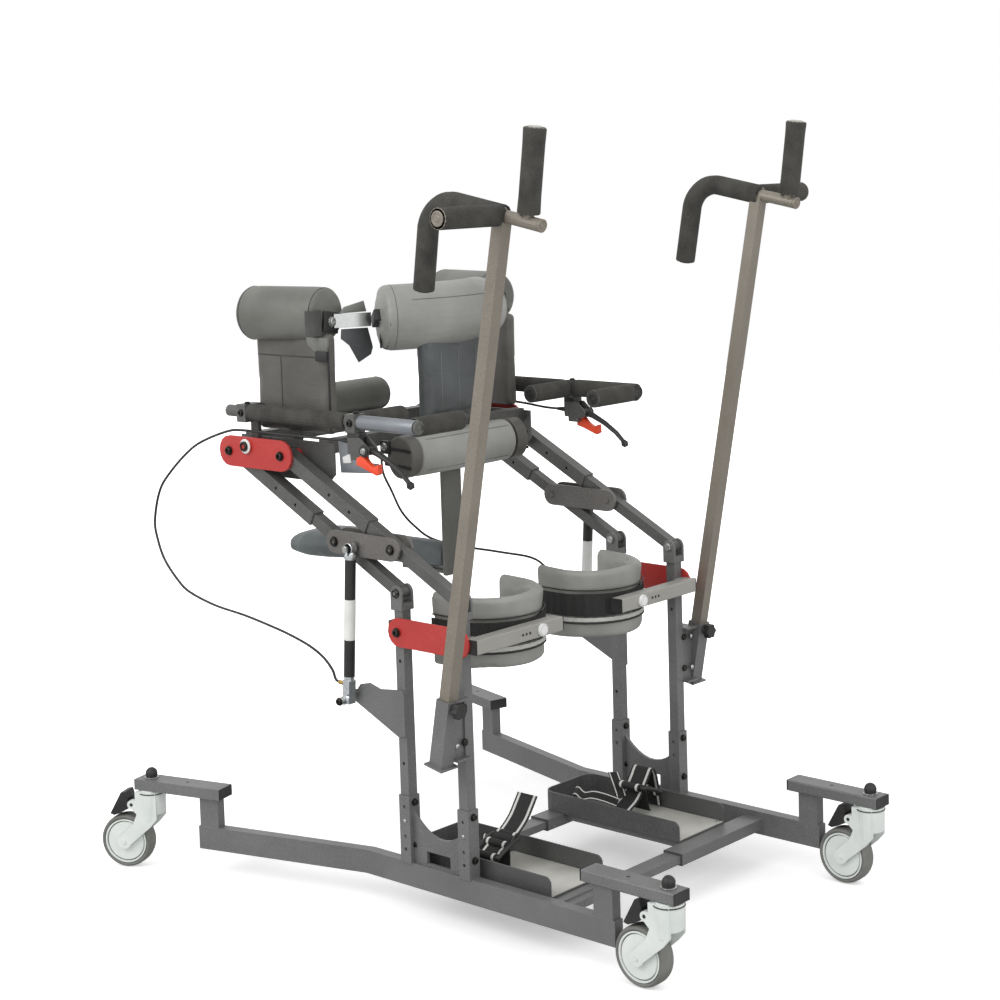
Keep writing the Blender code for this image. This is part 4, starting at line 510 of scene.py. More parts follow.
# %% [markdown]
# ## Tools for shaping new pieces
# Most hardware is either a bevelled block or a turned piece. A block is a cube primitive, resized
# in edit mode and bevelled. A turned piece is a disc whose face is extruded upwards and resized
# ring by ring, as on a lathe. Both are made upright, then aimed at their place. The left side's
# pieces are mirrored copies with their own mesh.

# %% Blocks, turned pieces, copies
def block(low, high, bevel=0.0, segments=2):
    """A box between two corners, bevelled on all its edges."""
    clear()
    low, high = Vector(low), Vector(high)
    bpy.ops.mesh.primitive_cube_add(size=1, location=(low + high) / 2)
    piece = bpy.context.object
    bpy.ops.object.mode_set(mode="EDIT")
    bpy.ops.transform.resize(value=high - low)
    if bevel:
        bpy.ops.mesh.bevel(offset=bevel, segments=segments, affect="EDGES")
    return settle(piece)


def turned(profile, sides=24):
    """A lathe piece: rings of (height, radius), extruded upwards from a disc."""
    clear()
    bpy.ops.mesh.primitive_circle_add(vertices=sides, radius=profile[0][1], fill_type="NGON",
                                      location=(0, 0, profile[0][0]))
    piece = bpy.context.object
    bpy.ops.object.mode_set(mode="EDIT")
    bpy.ops.mesh.select_all(action="SELECT")
    for (z0, r0), (z1, r1) in zip(profile, profile[1:]):
        bpy.ops.mesh.extrude_region_move(TRANSFORM_OT_translate={"value": (0, 0, z1 - z0)})
        bpy.ops.transform.resize(value=(r1 / r0, r1 / r0, 1))
    bpy.ops.mesh.select_all(action="SELECT")
    bpy.ops.mesh.normals_make_consistent(inside=False)
    return settle(piece)


def aim(piece, place, direction=(0, 0, 1), spin=0.0):
    """Turn an upright piece along a direction, set it on its place, and settle it there."""
    turn = Vector((0, 0, 1)).rotation_difference(Vector(direction))
    piece.matrix_world = (Matrix.Translation(place) @ turn.to_matrix().to_4x4()
                          @ Matrix.Rotation(spin, 4, "Z"))
    return settle(piece)


def twin(piece, shift=(0, 0, 0), mirror=False, turn=0.0):
    """A copy with its own mesh, mirrored across the middle plane, turned about Z, or moved."""
    only(piece)
    bpy.ops.object.duplicate(linked=False)
    copy = bpy.context.object
    flip = Matrix.Diagonal((1, -1, 1, 1)) if mirror else Matrix.Identity(4)
    copy.matrix_world = Matrix.Translation(shift) @ Matrix.Rotation(turn, 4, "Z") @ flip
    settle(copy)
    if mirror:
        bpy.ops.object.mode_set(mode="EDIT")
        bpy.ops.mesh.select_all(action="SELECT")
        bpy.ops.mesh.normals_make_consistent(inside=False)
        bpy.ops.object.mode_set(mode="OBJECT")
    return copy


def fit_both(piece, name, material, body):
    """Fit a right-hand piece, and its mirror image on the left."""
    other = twin(piece, mirror=True)
    return (fit(piece, name + "_right", material, body.format(side="right")),
            fit(other, name + "_left", material, body.format(side="left")))


print("tools ready")

# %% [markdown]
# ## Castors
# The real castor has a pale nylon wheel disc, a thin dark recess, a white ring, and a grey rubber
# tyre moulded round it. The CAD wheel is one solid, so it is replaced by a turned disc and a torus
# for the tyre, widened along its axle and squared. Two thin dark tori are painted shade in the
# recess. The stem's domed nut stands on a washer on top of the bar.

# %% Castor wheels
TRAIL, WHEEL_R, HALF = 0.052, 0.050, 0.0155
REAR_TURN = 26 * DEG
DISC = [(-HALF * 0.70, 0.006), (-HALF * 0.70, 0.0100), (-HALF * 0.86, 0.0110), (-HALF * 0.88, 0.0355),
        (-HALF * 0.72, 0.0368), (-HALF * 0.72, 0.0378), (-HALF * 0.93, 0.0384), (-HALF * 0.93, 0.0412),
        (HALF * 0.93, 0.0412), (HALF * 0.93, 0.0384), (HALF * 0.72, 0.0378), (HALF * 0.72, 0.0368),
        (HALF * 0.88, 0.0355), (HALF * 0.86, 0.0110), (HALF * 0.70, 0.0100), (HALF * 0.70, 0.006)]


def band_ring(major, minor, wide=1.0, square=1.0, count=72):
    """A torus about Z, widened along its axle, with its section squared off."""
    clear()
    bpy.ops.mesh.primitive_torus_add(major_segments=count, minor_segments=16, major_radius=major,
                                     minor_radius=minor)
    ring = bpy.context.object
    bpy.ops.object.mode_set(mode="EDIT")
    bpy.ops.transform.resize(value=(1, 1, wide))
    bpy.ops.object.mode_set(mode="OBJECT")
    height = minor * wide
    for vertex in ring.data.vertices:
        share = min(abs(vertex.co.z) / height, 1.0) ** square
        vertex.co.z = math.copysign(share * height, vertex.co.z)
    return settle(ring, 60)


HUB = {"front": FRONT_STEM + Vector((-TRAIL, 0, WHEEL_R)),
       "rear": REAR_STEM + Vector((-TRAIL * math.cos(REAR_TURN), -TRAIL * math.sin(REAR_TURN), WHEEL_R))}
AXIS = {"front": Vector((0, 1, 0)), "rear": Vector((-math.sin(REAR_TURN), math.cos(REAR_TURN), 0))}
disc = turned(DISC, 48)
tyre = band_ring(0.0453, 0.0047, 3.25, 0.55)
recess = band_ring(0.0373, 0.0006)
for corner in ("front", "rear"):
    wheel = "caster_wheel_" + corner + "_{side}"
    for master, name, material, slot in ((disc, "wheel_disc_", PALE_NYLON, "castor_plastic_pale"),
                                         (tyre, "wheel_tyre_", TYRE_RUBBER, "castor_tyre_grey")):
        piece = aim(twin(master), HUB[corner], AXIS[corner])
        pair = fit_both(piece, name + corner, material, wheel)
        if master is disc:
            for made, side in zip(pair, ("right", "left")):
                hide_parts("caster_wheel_%s_%s" % (corner, side))
    # Thin dark tori of painted shade sit in the recess on both faces.
    for face, sign in (("near", -1), ("far", 1)):
        piece = aim(twin(recess), HUB[corner] + AXIS[corner] * (sign * HALF * 0.735), AXIS[corner])
        fit_both(piece, "wheel_recess_%s_%s" % (corner, face), PAINTED_SHADE_LINE, wheel)
    print("wheel", corner, "at", [round(v, 4) for v in HUB[corner]])
for master in (disc, tyre, recess):
    bpy.data.objects.remove(master)

# %% [markdown]
# A domed black nut and a bright washer close each castor stem on top of the bar. A thin dark line
# of painted shade marks the joint between the fork and its crown.

# %% Stem nuts, washers, and the crown's shadow line
NUT = [(0.0, 0.0108), (0.0055, 0.0108), (0.0060, 0.0112), (0.0090, 0.0110), (0.0125, 0.0096),
       (0.0155, 0.0070), (0.0172, 0.0040), (0.0178, 0.0008)]
for corner, stem in (("front", FRONT_STEM), ("rear", REAR_STEM)):
    washer = aim(turned([(0.0, 0.0125), (0.0006, 0.0132), (0.0018, 0.0132), (0.0022, 0.0125)]),
                 stem + Vector((0, 0, 0.170)))
    fit_both(washer, "stem_washer_" + corner, ZINC, "base")
    nut = aim(turned(NUT), stem + Vector((0, 0, 0.1718)))
    fit_both(nut, "stem_nut_" + corner, BLACK_PLASTIC, "base")
    line = aim(turned([(0.0, 0.0250), (0.0004, 0.0262), (0.0020, 0.0262), (0.0024, 0.0250)], 32),
               stem + Vector((0, 0, 0.1425)))
    fit_both(line, "crown_line_" + corner, PAINTED_SHADE_LINE, "caster_fork_" + corner + "_{side}")
print("nuts and washers on four stems")

# %% [markdown]
# The castor bars and rails are square tube, so each open end is closed by a black plastic plug
# with a flat flange. A small hole sits on top of each bar, half way along.

# %% End plugs and bar holes
def plug(centre, direction, across, up, proud=0.0012):
    """A flanged tube plug: a bevelled flange with a raised centre, facing along a direction."""
    flange = block((-across / 2, -up / 2, -0.0004), (across / 2, up / 2, proud), 0.0009)
    bpy.ops.object.mode_set(mode="EDIT")
    bpy.ops.mesh.select_all(action="DESELECT")
    bpy.ops.object.mode_set(mode="OBJECT")
    top = max(flange.data.polygons, key=lambda f: f.center.z * 10 + f.area)
    top.select = True
    bpy.ops.object.mode_set(mode="EDIT")
    bpy.ops.mesh.inset(thickness=0.0028, depth=-0.0007)
    bpy.ops.object.mode_set(mode="OBJECT")
    forward = Vector(direction).normalized()
    side = Vector((0, 0, 1)).cross(forward).normalized()
    upward = forward.cross(side)
    flange.matrix_world = Matrix.Translation(centre) @ Matrix((side, upward, forward)).transposed().to_4x4()
    return settle(flange)


bar_mid = 0.160
front_tip = FRONT_STEM + Vector((0.025, 0, bar_mid))
front_tail = front_tip - Vector((0.190, 0, 0))
rear_tip = REAR_STEM + SPLAY_DIR * 0.025 + Vector((0, 0, bar_mid))
rear_tail = rear_tip - SPLAY_DIR * 0.190
for name, place, way in (("front_tip", front_tip, (1, 0, 0)), ("front_tail", front_tail, (-1, 0, 0)),
                         ("rear_tip", rear_tip, SPLAY_DIR), ("rear_tail", rear_tail, -SPLAY_DIR)):
    fit_both(plug(place, way, 0.0395, 0.0195), "bar_plug_" + name, BLACK_PLASTIC, "base")
for name, place in (("front", front_tip.lerp(front_tail, 0.56)), ("rear", rear_tip.lerp(rear_tail, 0.56))):
    hole = aim(turned([(0.0, 0.0032), (0.0004, 0.0032)], 16), place + Vector((0, 0, 0.0098)))
    fit_both(hole, "bar_hole_" + name, BLACK_PLASTIC, "base")
print("plugs on four bars")

# %% [markdown]
# ## Bolts, pins and washers
# A turned cap screw with a round recess is made for every pivot. The height settings of the
# legs and arms are fixed with spring buttons: small bright domes in black holes.

# %% Cap screws, hex heads and buttons
def cap_screw(radius=0.0068, height=0.0045):
    """A socket cap screw's head, turned with a round recess in its top."""
    return turned([(0.0, radius * 1.25), (0.0008, radius * 1.25), (0.0009, radius), (height * 0.85, radius),
                   (height, radius * 0.86), (height, radius * 0.50), (height * 0.45, radius * 0.46)], 18)


def hex_head(radius=0.0078, height=0.0048):
    """A hexagon bolt head, chamfered on top."""
    return turned([(0.0, radius), (height * 0.8, radius), (height, radius * 0.84)], 6)


def button(radius=0.0042, height=0.0030):
    """A spring button: a low polished dome."""
    return turned([(0.0, radius), (height * 0.45, radius * 0.97), (height * 0.85, radius * 0.66),
                   (height, radius * 0.2)], 16)


KNEE = {"rear": at(0.003, -RAIL_Y, 0.567), "front": at(0.143, -RAIL_Y, 0.567)}
ARM = 27.15 * DEG
ARM_DIR = Vector((-math.cos(ARM), 0, math.sin(ARM)))
MID = {k: v + ARM_DIR * 0.164 for k, v in KNEE.items()}
HIP = {k: v + ARM_DIR * 0.471 for k, v in KNEE.items()}
OUT = (0, -1, 0)
for end in ("rear", "front"):
    screw = aim(cap_screw(), KNEE[end] + Vector((0, -0.0145, 0)), OUT)
    fit_both(screw, "knee_screw_" + end, DARK_STEEL, "base")
    inner = aim(hex_head(), KNEE[end] + Vector((0, 0.0145, 0)), (0, 1, 0))
    fit_both(inner, "knee_nut_" + end, ZINC, "base")
    screw = aim(cap_screw(0.0075), MID[end] + Vector((0, -0.0180, 0)), OUT)
    fit_both(screw, "mid_screw_" + end, DARK_STEEL, "mid_link_{side}")
    screw = aim(cap_screw(0.0070, 0.0050), HIP[end] + Vector((0, -0.0192, 0)), OUT)
    fit_both(screw, "hip_screw_" + end, DARK_STEEL, "carriage")
print("screws at the knee, middle and hip pivots")

# %% [markdown]
# ## Padding
# Each pad is foam in a sewn vinyl cover. The foam pushes the cover out between its seams, so the
# flat faces crown and the vinyl creases near the ends. A cloth simulation does just that: the
# closed form is remeshed to even small faces, cloth with inner pressure swells it, and a cap stops
# any point that moves too far. A subdivision smooths the result. Rolls start as turned pieces and
# panels as bevelled blocks, a little smaller than the finished pad.

# %% A stuffed cover
def stuffed(piece, voxel=0.005, pressure=4.0, cap=0.006):
    """Swell a closed form as foam swells its cover, by cloth under pressure, within a cap."""
    only(piece)
    piece.data.remesh_voxel_size = voxel
    bpy.ops.object.voxel_remesh()
    start = [v.co.copy() for v in piece.data.vertices]
    bpy.ops.object.modifier_add(type="CLOTH")
    cloth = piece.modifiers[-1]
    cloth.settings.use_pressure = True
    cloth.settings.uniform_pressure_force = pressure
    cloth.settings.effector_weights.gravity = 0
    for count in range(1, 21):
        bpy.context.scene.frame_set(count)
    bpy.ops.object.modifier_apply(modifier=cloth.name)
    bpy.context.scene.frame_set(1)
    for vertex, home in zip(piece.data.vertices, start):
        move = vertex.co - home
        if move.length > cap:
            vertex.co = home + move * (cap / move.length)
    bpy.ops.object.modifier_add(type="SUBSURF")
    smooth = piece.modifiers[-1]
    smooth.levels = smooth.render_levels = 1
    bpy.ops.object.modifier_apply(modifier=smooth.name)
    bpy.ops.object.shade_smooth()
    return piece


def roll(tail, nose, radius, dome=0.007, rings=8, sides=48):
    """A roll between two points: domed, drawn-in ends and a straight body."""
    tail, nose = Vector(tail), Vector(nose)
    length = (nose - tail).length
    profile = [(0.0, radius * 0.84), (dome * 0.25, radius * 0.93), (dome, radius * 0.985)]
    profile += [(dome + (length - 2 * dome) * i / rings, radius) for i in range(1, rings)]
    profile += [(length - dome, radius * 0.985), (length - dome * 0.25, radius * 0.93),
                (length, radius * 0.84)]
    return aim(turned(profile, sides), tail, nose - tail)


def girth(pad, centre, direction, band=0.004):
    """The mean distance of a pad's skin from a line, near one point of that line."""
    direction = Vector(direction).normalized()
    reach = []
    for vertex in pad.data.vertices:
        step = vertex.co - centre
        if abs(step.dot(direction)) < band:
            reach.append((step - direction * step.dot(direction)).length)
    return sum(reach) / len(reach)


def hoop(pad, centre, direction, thickness, sink=0.3):
    """A round seam or piping that hugs a roll: a thin ring of the girth measured there."""
    radius = girth(pad, centre, direction) - thickness * sink
    clear()
    bpy.ops.mesh.primitive_torus_add(major_segments=72, minor_segments=8, major_radius=radius,
                                     minor_radius=thickness)
    return aim(bpy.context.object, centre, direction)


def stitched(pad, points, inward, radius=0.0008, proud=0.0002):
    """A seam laid on a pad: each point is dropped onto the skin along a direction."""
    inward = Vector(inward).normalized()
    laid = []
    for point in points:
        hit, place, _, _ = pad.ray_cast(Vector(point) - inward * 0.12, inward)
        if hit:
            laid.append(place - inward * proud)
    radii = [radius * 0.4] + [radius] * (len(laid) - 2) + [radius * 0.4]
    return bent_bar(laid, radii, 8)


def line(start, end, count=24):
    """Evenly spaced points between two."""
    return [Vector(start).lerp(Vector(end), i / count) for i in range(count + 1)]


def pad(piece, name, material, fill, *nodes):
    fit(piece, name, material, "carriage")
    if nodes:
        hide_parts(*nodes)
    print(name, "faces", len(piece.data.polygons))
    return piece


print("padding tools ready")

# %% [markdown]
# ## Straps and bands
# A strap is a tape of real width and thickness. It is modelled flat: a grid primitive is laid
# along a path, so its UV map runs along and across the tape for the weave and the stripes, and
# Solidify then gives it its thickness. Cloth remeshing would erase it.

# %% Straps
def strap(path, across, width, thickness=0.0016):
    """A flat tape along a path, its width along `across`, with a UV map in metres along it."""
    clear()
    last = len(path) - 1
    bpy.ops.mesh.primitive_grid_add(x_subdivisions=last, y_subdivisions=4, size=1)
    tape = bpy.context.object
    across = Vector(across).normalized() * width
    for vertex in tape.data.vertices:
        i = round((vertex.co.x + 0.5) * last)
        vertex.co = path[i] + across * vertex.co.y
    layer = tape.data.uv_layers[0]
    layer.name = "tape"
    total = length_of(path)
    for corner in layer.data:
        corner.uv.x *= total
    only(tape)
    bpy.ops.object.mode_set(mode="EDIT")
    bpy.ops.mesh.select_all(action="SELECT")
    bpy.ops.mesh.normals_make_consistent(inside=False)
    bpy.ops.object.mode_set(mode="OBJECT")
    bpy.ops.object.modifier_add(type="SOLIDIFY")
    wall = tape.modifiers[-1]
    wall.thickness = thickness
    wall.offset = 0.0
    bpy.ops.object.modifier_apply(modifier=wall.name)
    return settle(tape, 50)


print("strap tool ready")

# %% [markdown]
# The chest roll is a firm roll, bowed forward, on a dark panel bolted to the carriage's upright.
# It is a bar along the bow, so its flat ends stand square to the curve. A seam runs round each end
# and one along the front, and each end carries a small black clamp for the latch.

# %% Chest roll and panel
CHEST_HALF, CHEST_BOW = 0.128, 0.038


def chest_line(y):
    """The bowed centre line of the chest roll."""
    return at(-0.191 + CHEST_BOW * (1 - (y / CHEST_HALF) ** 2), y, 1.018)


marks = [-CHEST_HALF, -0.1265, -0.1225] + [0.016 * i for i in range(-7, 8)] + [0.1225, 0.1265, CHEST_HALF]
girths = [0.0500, 0.0555, 0.0590] + [0.0598] * 15 + [0.0590, 0.0555, 0.0500]
chest = stuffed(bent_bar([chest_line(y) for y in marks], girths, 48))
pad(chest, "chest_roll", VINYL_LIGHT, 0.9, "chest_support")
for side, sign in (("near", -1), ("far", 1)):
    lean = (chest_line(sign * CHEST_HALF) - chest_line(sign * 0.122)).normalized()
    for name, y, thickness in (("rim", 0.1235, 0.0013), ("seam", 0.113, 0.0008)):
        # The rim ring is a dark line of painted shade in the end seam; the seam ring is piping.
        ring = hoop(chest, chest_line(sign * y), lean, thickness)
        fit(ring, "chest_piping_%s_%s" % (side, name), PAINTED_SHADE_LINE if name == "rim" else PIPING, "carriage")
    end = chest_line(sign * CHEST_HALF) + lean * 0.0035
    frame_piece = aim(block((-0.0165, -0.0110, -0.004), (0.0165, 0.0110, 0.0110), 0.0015), end, lean)
    fit(frame_piece, "chest_clamp_" + side, BLACK_PLASTIC, "carriage")
    ahead = Vector((0.75, sign * 0.66, 0))
    screw = aim(cap_screw(0.0062, 0.0052), end + lean * 0.0050 + Vector((0.0100, 0, 0)), ahead)
    fit(screw, "chest_bolt_" + side, ZINC, "carriage")
    low_end = end + lean * 0.0020 + Vector((0.006, 0, 0))
    tie = strap(line(low_end + Vector((0, 0, -0.010)), low_end + Vector((0, 0, -0.054)), 6),
                Vector((0, 0, 1)).cross(lean), 0.0060, 0.0024)
    fit(tie, "chest_tie_" + side, PLAIN_TAPE, "carriage")
seam = stitched(chest, [at(-0.12, y, 1.052) for y in [i * 0.01 - 0.11 for i in range(23)]], (-1, 0, 0))
fit(seam, "chest_seam", PIPING, "carriage")
panel = stuffed(block(at(-0.1545, -0.085, 0.831), at(-0.1285, 0.085, 0.985), 0.010, 4), cap=0.005)
pad(panel, "chest_panel", VINYL_SLATE, 0.7)
for y in (-0.045, 0.0, 0.045):
    seam = stitched(panel, line(at(-0.10, y, 0.846), at(-0.10, y, 0.958)), (-1, 0, 0))
    fit(seam, "chest_panel_seam_%d" % round(1000 * (y + 0.045)), PIPING, "carriage")

# %% [markdown]
# A side roll lies over each flank, on a flat panel that slips over the carriage's upright. Black
# piping edges the panel's front corner. A dark line of painted shade crosses the panel where the
# roll's cover laps it, and another runs down its seam.
# The roll's flat front end is closed by a dark patch and a black bracket with a bright bolt. From
# there a flat bright band reaches across to the chest roll, and a slate guard flap hangs under it.

# %% Side rolls and panels
TAIL, NOSE = at(-0.405, -0.250, 1.0305), at(-0.229, -0.220, 1.0305)
ALONG = (NOSE - TAIL).normalized()
ASIDE = Vector((0, 0, 1)).cross(ALONG)
side_roll = stuffed(roll(TAIL + ALONG * 0.002, NOSE - ALONG * 0.002, 0.0495))
side_panel = stuffed(block(at(-0.402, -0.2475, 0.8145), at(-0.202, -0.2245, 1.000), 0.009, 4), cap=0.004)
for side, mirror in (("left", True), ("right", False)):
    flank = twin(side_roll, mirror=mirror)
    sheet = twin(side_panel, mirror=mirror)
    pad(flank, "side_roll_" + side, VINYL_MID, 0.85, "lateral_support_" + side)
    pad(sheet, "side_panel_" + side, VINYL_BROWN, 0.7)
# Dark rings of painted shade mark the seams near both ends of each side roll.
for name, share, thickness in (("tail", 0.06, 0.0014), ("neck", 0.955, 0.0014)):
    ring = hoop(flank, TAIL.lerp(NOSE, share), ALONG, thickness)
    fit_both(ring, "side_piping_" + name, PAINTED_SHADE_LINE, "carriage")
# The panel's seam and fold are dark lines of painted shade.
seam = stitched(sheet, line(at(-0.3250, -0.30, 0.822), at(-0.3250, -0.30, 0.955)), (0, 1, 0), 0.0010)
fit_both(seam, "side_panel_seam", PAINTED_SHADE_LINE, "carriage")
seam = stitched(sheet, line(at(-0.392, -0.30, 0.9555), at(-0.212, -0.30, 0.9560), 30), (0, 1, 0), 0.0012)
fit_both(seam, "side_panel_fold", PAINTED_SHADE_LINE, "carriage")
edge = bent_bar(line(at(-0.2030, -0.2475, 0.824), at(-0.2030, -0.2475, 0.975), 12),
                [0.0008] + [0.0021] * 11 + [0.0008], 10)
fit(edge, "side_panel_edge", BLACK_PLASTIC, "carriage")
bpy.data.objects.remove(side_roll)
bpy.data.objects.remove(side_panel)


# %% [markdown]
# The latch band and its guard flaps are cut from flat stock. A flat shape is a disc whose corners
# are moved to its outline, then thickened and bevelled.

# %% Flat shapes, latch bands and guard flaps
def sheet_shape(points, thickness, bevel=0.0006):
    """A flat shape: a disc whose corners are moved to the points, thickened and bevelled."""
    clear()
    bpy.ops.mesh.primitive_circle_add(vertices=len(points), radius=1, fill_type="NGON")
    shape = bpy.context.object
    for vertex, point in zip(shape.data.vertices, points):
        vertex.co = point
    only(shape)
    bpy.ops.object.modifier_add(type="SOLIDIFY")
    wall = shape.modifiers[-1]
    wall.thickness = thickness
    wall.offset = 0.0
    bpy.ops.object.modifier_apply(modifier=wall.name)
    bpy.ops.object.mode_set(mode="EDIT")
    bpy.ops.mesh.select_all(action="SELECT")
    bpy.ops.mesh.normals_make_consistent(inside=False)
    bpy.ops.mesh.bevel(offset=bevel, segments=2, affect="EDGES")
    return settle(shape)


end = NOSE + ALONG * 0.0030
low = Vector((0, 0, -0.013))
patch = strap([end + low - ALONG * 0.012 - ASIDE * 0.0545, end + low - ALONG * 0.005 - ASIDE * 0.0540,
               end + low - ALONG * 0.0005 - ASIDE * 0.0490, end + low + ALONG * 0.0020 - ASIDE * 0.0420,
               end + low + ALONG * 0.0022 - ASIDE * 0.0280], (0, 0, 1), 0.046, 0.0024)
fit(patch, "roll_patch", VINYL_CHAR, "carriage")
bracket = aim(block((-0.019, -0.021, -0.001), (0.019, 0.021, 0.0045), 0.0015),
              end + Vector((0, 0, -0.014)), ALONG)
fit_both(bracket, "roll_bracket", BLACK_PLASTIC, "carriage")
screw = aim(cap_screw(0.0078, 0.0048), end + ALONG * 0.0045 + Vector((0, 0, -0.013)), ALONG)
fit_both(screw, "roll_bolt", ZINC, "carriage")
tongue = sheet_shape([at(x, -0.2545, z) for x, z in ((-0.250, 0.992), (-0.246, 0.977), (-0.226, 0.965),
                                                    (-0.199, 0.965), (-0.194, 0.977), (-0.194, 0.992))],
                                                    0.0040)
fit(tongue, "roll_tongue", VINYL_MID, "carriage")
tab = block(at(-0.2250, -0.2595, 0.9500), at(-0.1970, -0.2535, 0.9680), 0.0016)
fit(tab, "roll_tab", BLACK_PLASTIC, "carriage")
clamp_end = chest_line(-CHEST_HALF) + Vector((-0.010, -0.016, -0.001))
path = [end + ALONG * 0.006 + ASIDE * 0.004 + Vector((0, 0, -0.012)), at(-0.2135, -0.1985, 1.0180),
        at(-0.2055, -0.1800, 1.0180), at(-0.2010, -0.1600, 1.0175), clamp_end]
knots = [tuple(p - Vector((MIDDLE, 0, 0))) for p in path]
fit_both(strap(smooth_curve(knots, 4), (0, 0, 1), 0.0250, 0.0036), "latch_band", ALUMINIUM, "carriage")
flap = sheet_shape([at(-0.2140, y, z) for y, z in ((-0.2030, 1.0030), (-0.1400, 1.0010), (-0.1290, 0.9650),
                                                  (-0.1340, 0.9520), (-0.1640, 0.9400), (-0.1850, 0.9720),
                                                  (-0.2050, 0.9860))], 0.0030)
fit_both(flap, "latch_flap", VINYL_SLATE, "carriage")
flap = sheet_shape([at(-0.2180, y, z) for y, z in ((-0.2030, 1.0310), (-0.1910, 1.0420), (-0.1440, 1.0500),
                                                  (-0.1380, 1.0300))], 0.0030)
fit_both(flap, "latch_flap_upper", VINYL_PAD, "carriage")
print("side rolls, panels, latch bands and flaps")

# %% [markdown]
# The pelvic bolster sits before the seat post, the rear pad behind the user's back, and the
# saddle on its post below. The saddle's tapered form is already right in CAD, so its mesh is
# copied, merged and stuffed.

# %% Bolster, rear pad and saddle
def copy_of(name, shrink=0.0):
    """A merged copy of a CAD node's mesh, drawn in along its normals."""
    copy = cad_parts[name].copy()
    copy.data = copy.data.copy()
    copy.parent = None
    bpy.context.scene.collection.objects.link(copy)
    copy.hide_render = False
    only(copy)
    bpy.ops.object.mode_set(mode="EDIT")
    bpy.ops.mesh.select_all(action="SELECT")
    bpy.ops.mesh.remove_doubles(threshold=0.00005)
    bpy.ops.transform.shrink_fatten(value=-shrink)
    bpy.ops.object.mode_set(mode="OBJECT")
    return copy


bolster = roll((0, -0.125, 0), (0, 0.123, 0), 0.0395)
bolster.matrix_world = Matrix.Translation(at(-0.128, 0, 0.771)) @ Matrix.Diagonal((0.85, 1, 1, 1))
settle(bolster)
bolster = pad(stuffed(bolster), "hip_bolster", VINYL_LIGHT, 0.85, "pelvic_bolster")
for name, z in (("upper", 0.800), ("lower", 0.744)):
    seam = stitched(bolster, [at(-0.05, i * 0.01 - 0.11, z) for i in range(23)], (-1, 0, 0))
    fit(seam, "bolster_seam_" + name, PIPING, "carriage")
drum = aim(turned([(0.0, 0.0360), (0.0020, 0.0385), (0.0260, 0.0385), (0.0280, 0.0360),
                   (0.0282, 0.0120)], 40),
           at(-0.128, -0.1260, 0.771), (0, -1, 0))
drum.matrix_world = Matrix.Translation(at(-0.128, 0, 0)) @ Matrix.Diagonal((0.85, 1, 1,
                                                                            1)) @ Matrix.Translation(
    -at(-0.128, 0, 0))
fit_both(settle(drum), "bolster_end", VINYL_BROWN, "carriage")
for name, z in (("upper", 0.787), ("lower", 0.757)):
    tie = strap(line(at(-0.165, -0.1552, z), at(-0.098, -0.1552, z - 0.004), 6), (0, 0, 1), 0.0050, 0.0016)
    fit_both(tie, "bolster_tie_" + name, PLAIN_TAPE, "carriage")
buckle = block(at(-0.172, -0.1600, 0.776), at(-0.150, -0.1500, 0.800), 0.0018)
fit_both(buckle, "bolster_buckle", BLACK_PLASTIC, "carriage")
screw = aim(cap_screw(0.0060, 0.0034), at(-0.161, -0.1600, 0.790), (0, -1, 0))
fit_both(screw, "bolster_bolt", ZINC, "carriage")
rear = stuffed(roll(at(-0.425, -0.113, 0.8467), at(-0.425, 0.088, 0.8467), 0.0325))
pad(rear, "back_roll", VINYL_MID, 0.85, "rear_pad")
for name, y in (("near", -0.100), ("far", 0.077)):
    ring = hoop(rear, at(-0.425, y, 0.8467), (0, 1, 0), 0.0013)
    fit(ring, "back_piping_" + name, PIPING, "carriage")
saddle = stuffed(copy_of("saddle", 0.0022), cap=0.004)
pad(saddle, "saddle_cover", VINYL_DARK, 0.8, "saddle")

# %% [markdown]
# ## Foam grips
# The handles are covered in closed-cell foam tube, pushed over the steel while wet, so it follows
# every bend and its cut ends stand square with a soft rim. Each tube's open end is closed by a
# plastic plug with a raised ring. The sleeves are bars of changing radius, a little fatter than the
# CAD's tube, which they cover.

# %% Foam on the handles
TILT = 11 * DEG
POST_DIR = Vector((math.sin(TILT), 0, math.cos(TILT)))
AHEAD = Vector((math.cos(TILT), 0, -math.sin(TILT)))
STAND = Vector((math.sin(8 * DEG), 0, math.cos(8 * DEG)))
FOAM_R = 0.0178
HANDLE = {"right": (0.0, 0.054, 0.103, 0.15, 0.147), "left": (0.010, 0.066, 0.091, 0.19, 0.143)}


def post_top(lift):
    """The top of the right handle post, lifted by the post's own setting."""
    return at(0.1375 + (0.910 + lift) * math.tan(TILT), -0.3395, 1.212 + lift)



def foam_sleeve(points, radius=FOAM_R, flare=0.0):
    """A foam tube along points, with soft rims and, if asked, slightly flared ends."""
    points = [Vector(p) for p in points]
    first = points[0].lerp(points[1], 0.0022 / (points[1] - points[0]).length)
    last = points[-1].lerp(points[-2], 0.0022 / (points[-2] - points[-1]).length)
    rim = radius + flare
    radii = [rim * 0.90, rim] + [radius] * (len(points) - 2) + [rim, rim * 0.90]
    return bent_bar([points[0], first, *points[1:-1], last, points[-1]], radii, 24)


def tube_plug(place, direction, radius):
    """A round tube plug: a flat flange, a raised ring, and a dimple in the middle."""
    return aim(turned([(-0.002, radius), (0.0012, radius), (0.0020, radius * 0.93), (0.0020, radius * 0.70),
                       (0.0012, radius * 0.66), (0.0012, radius * 0.44), (0.0022, radius * 0.38),
                       (0.0024, radius * 0.10)], 28), place, direction)


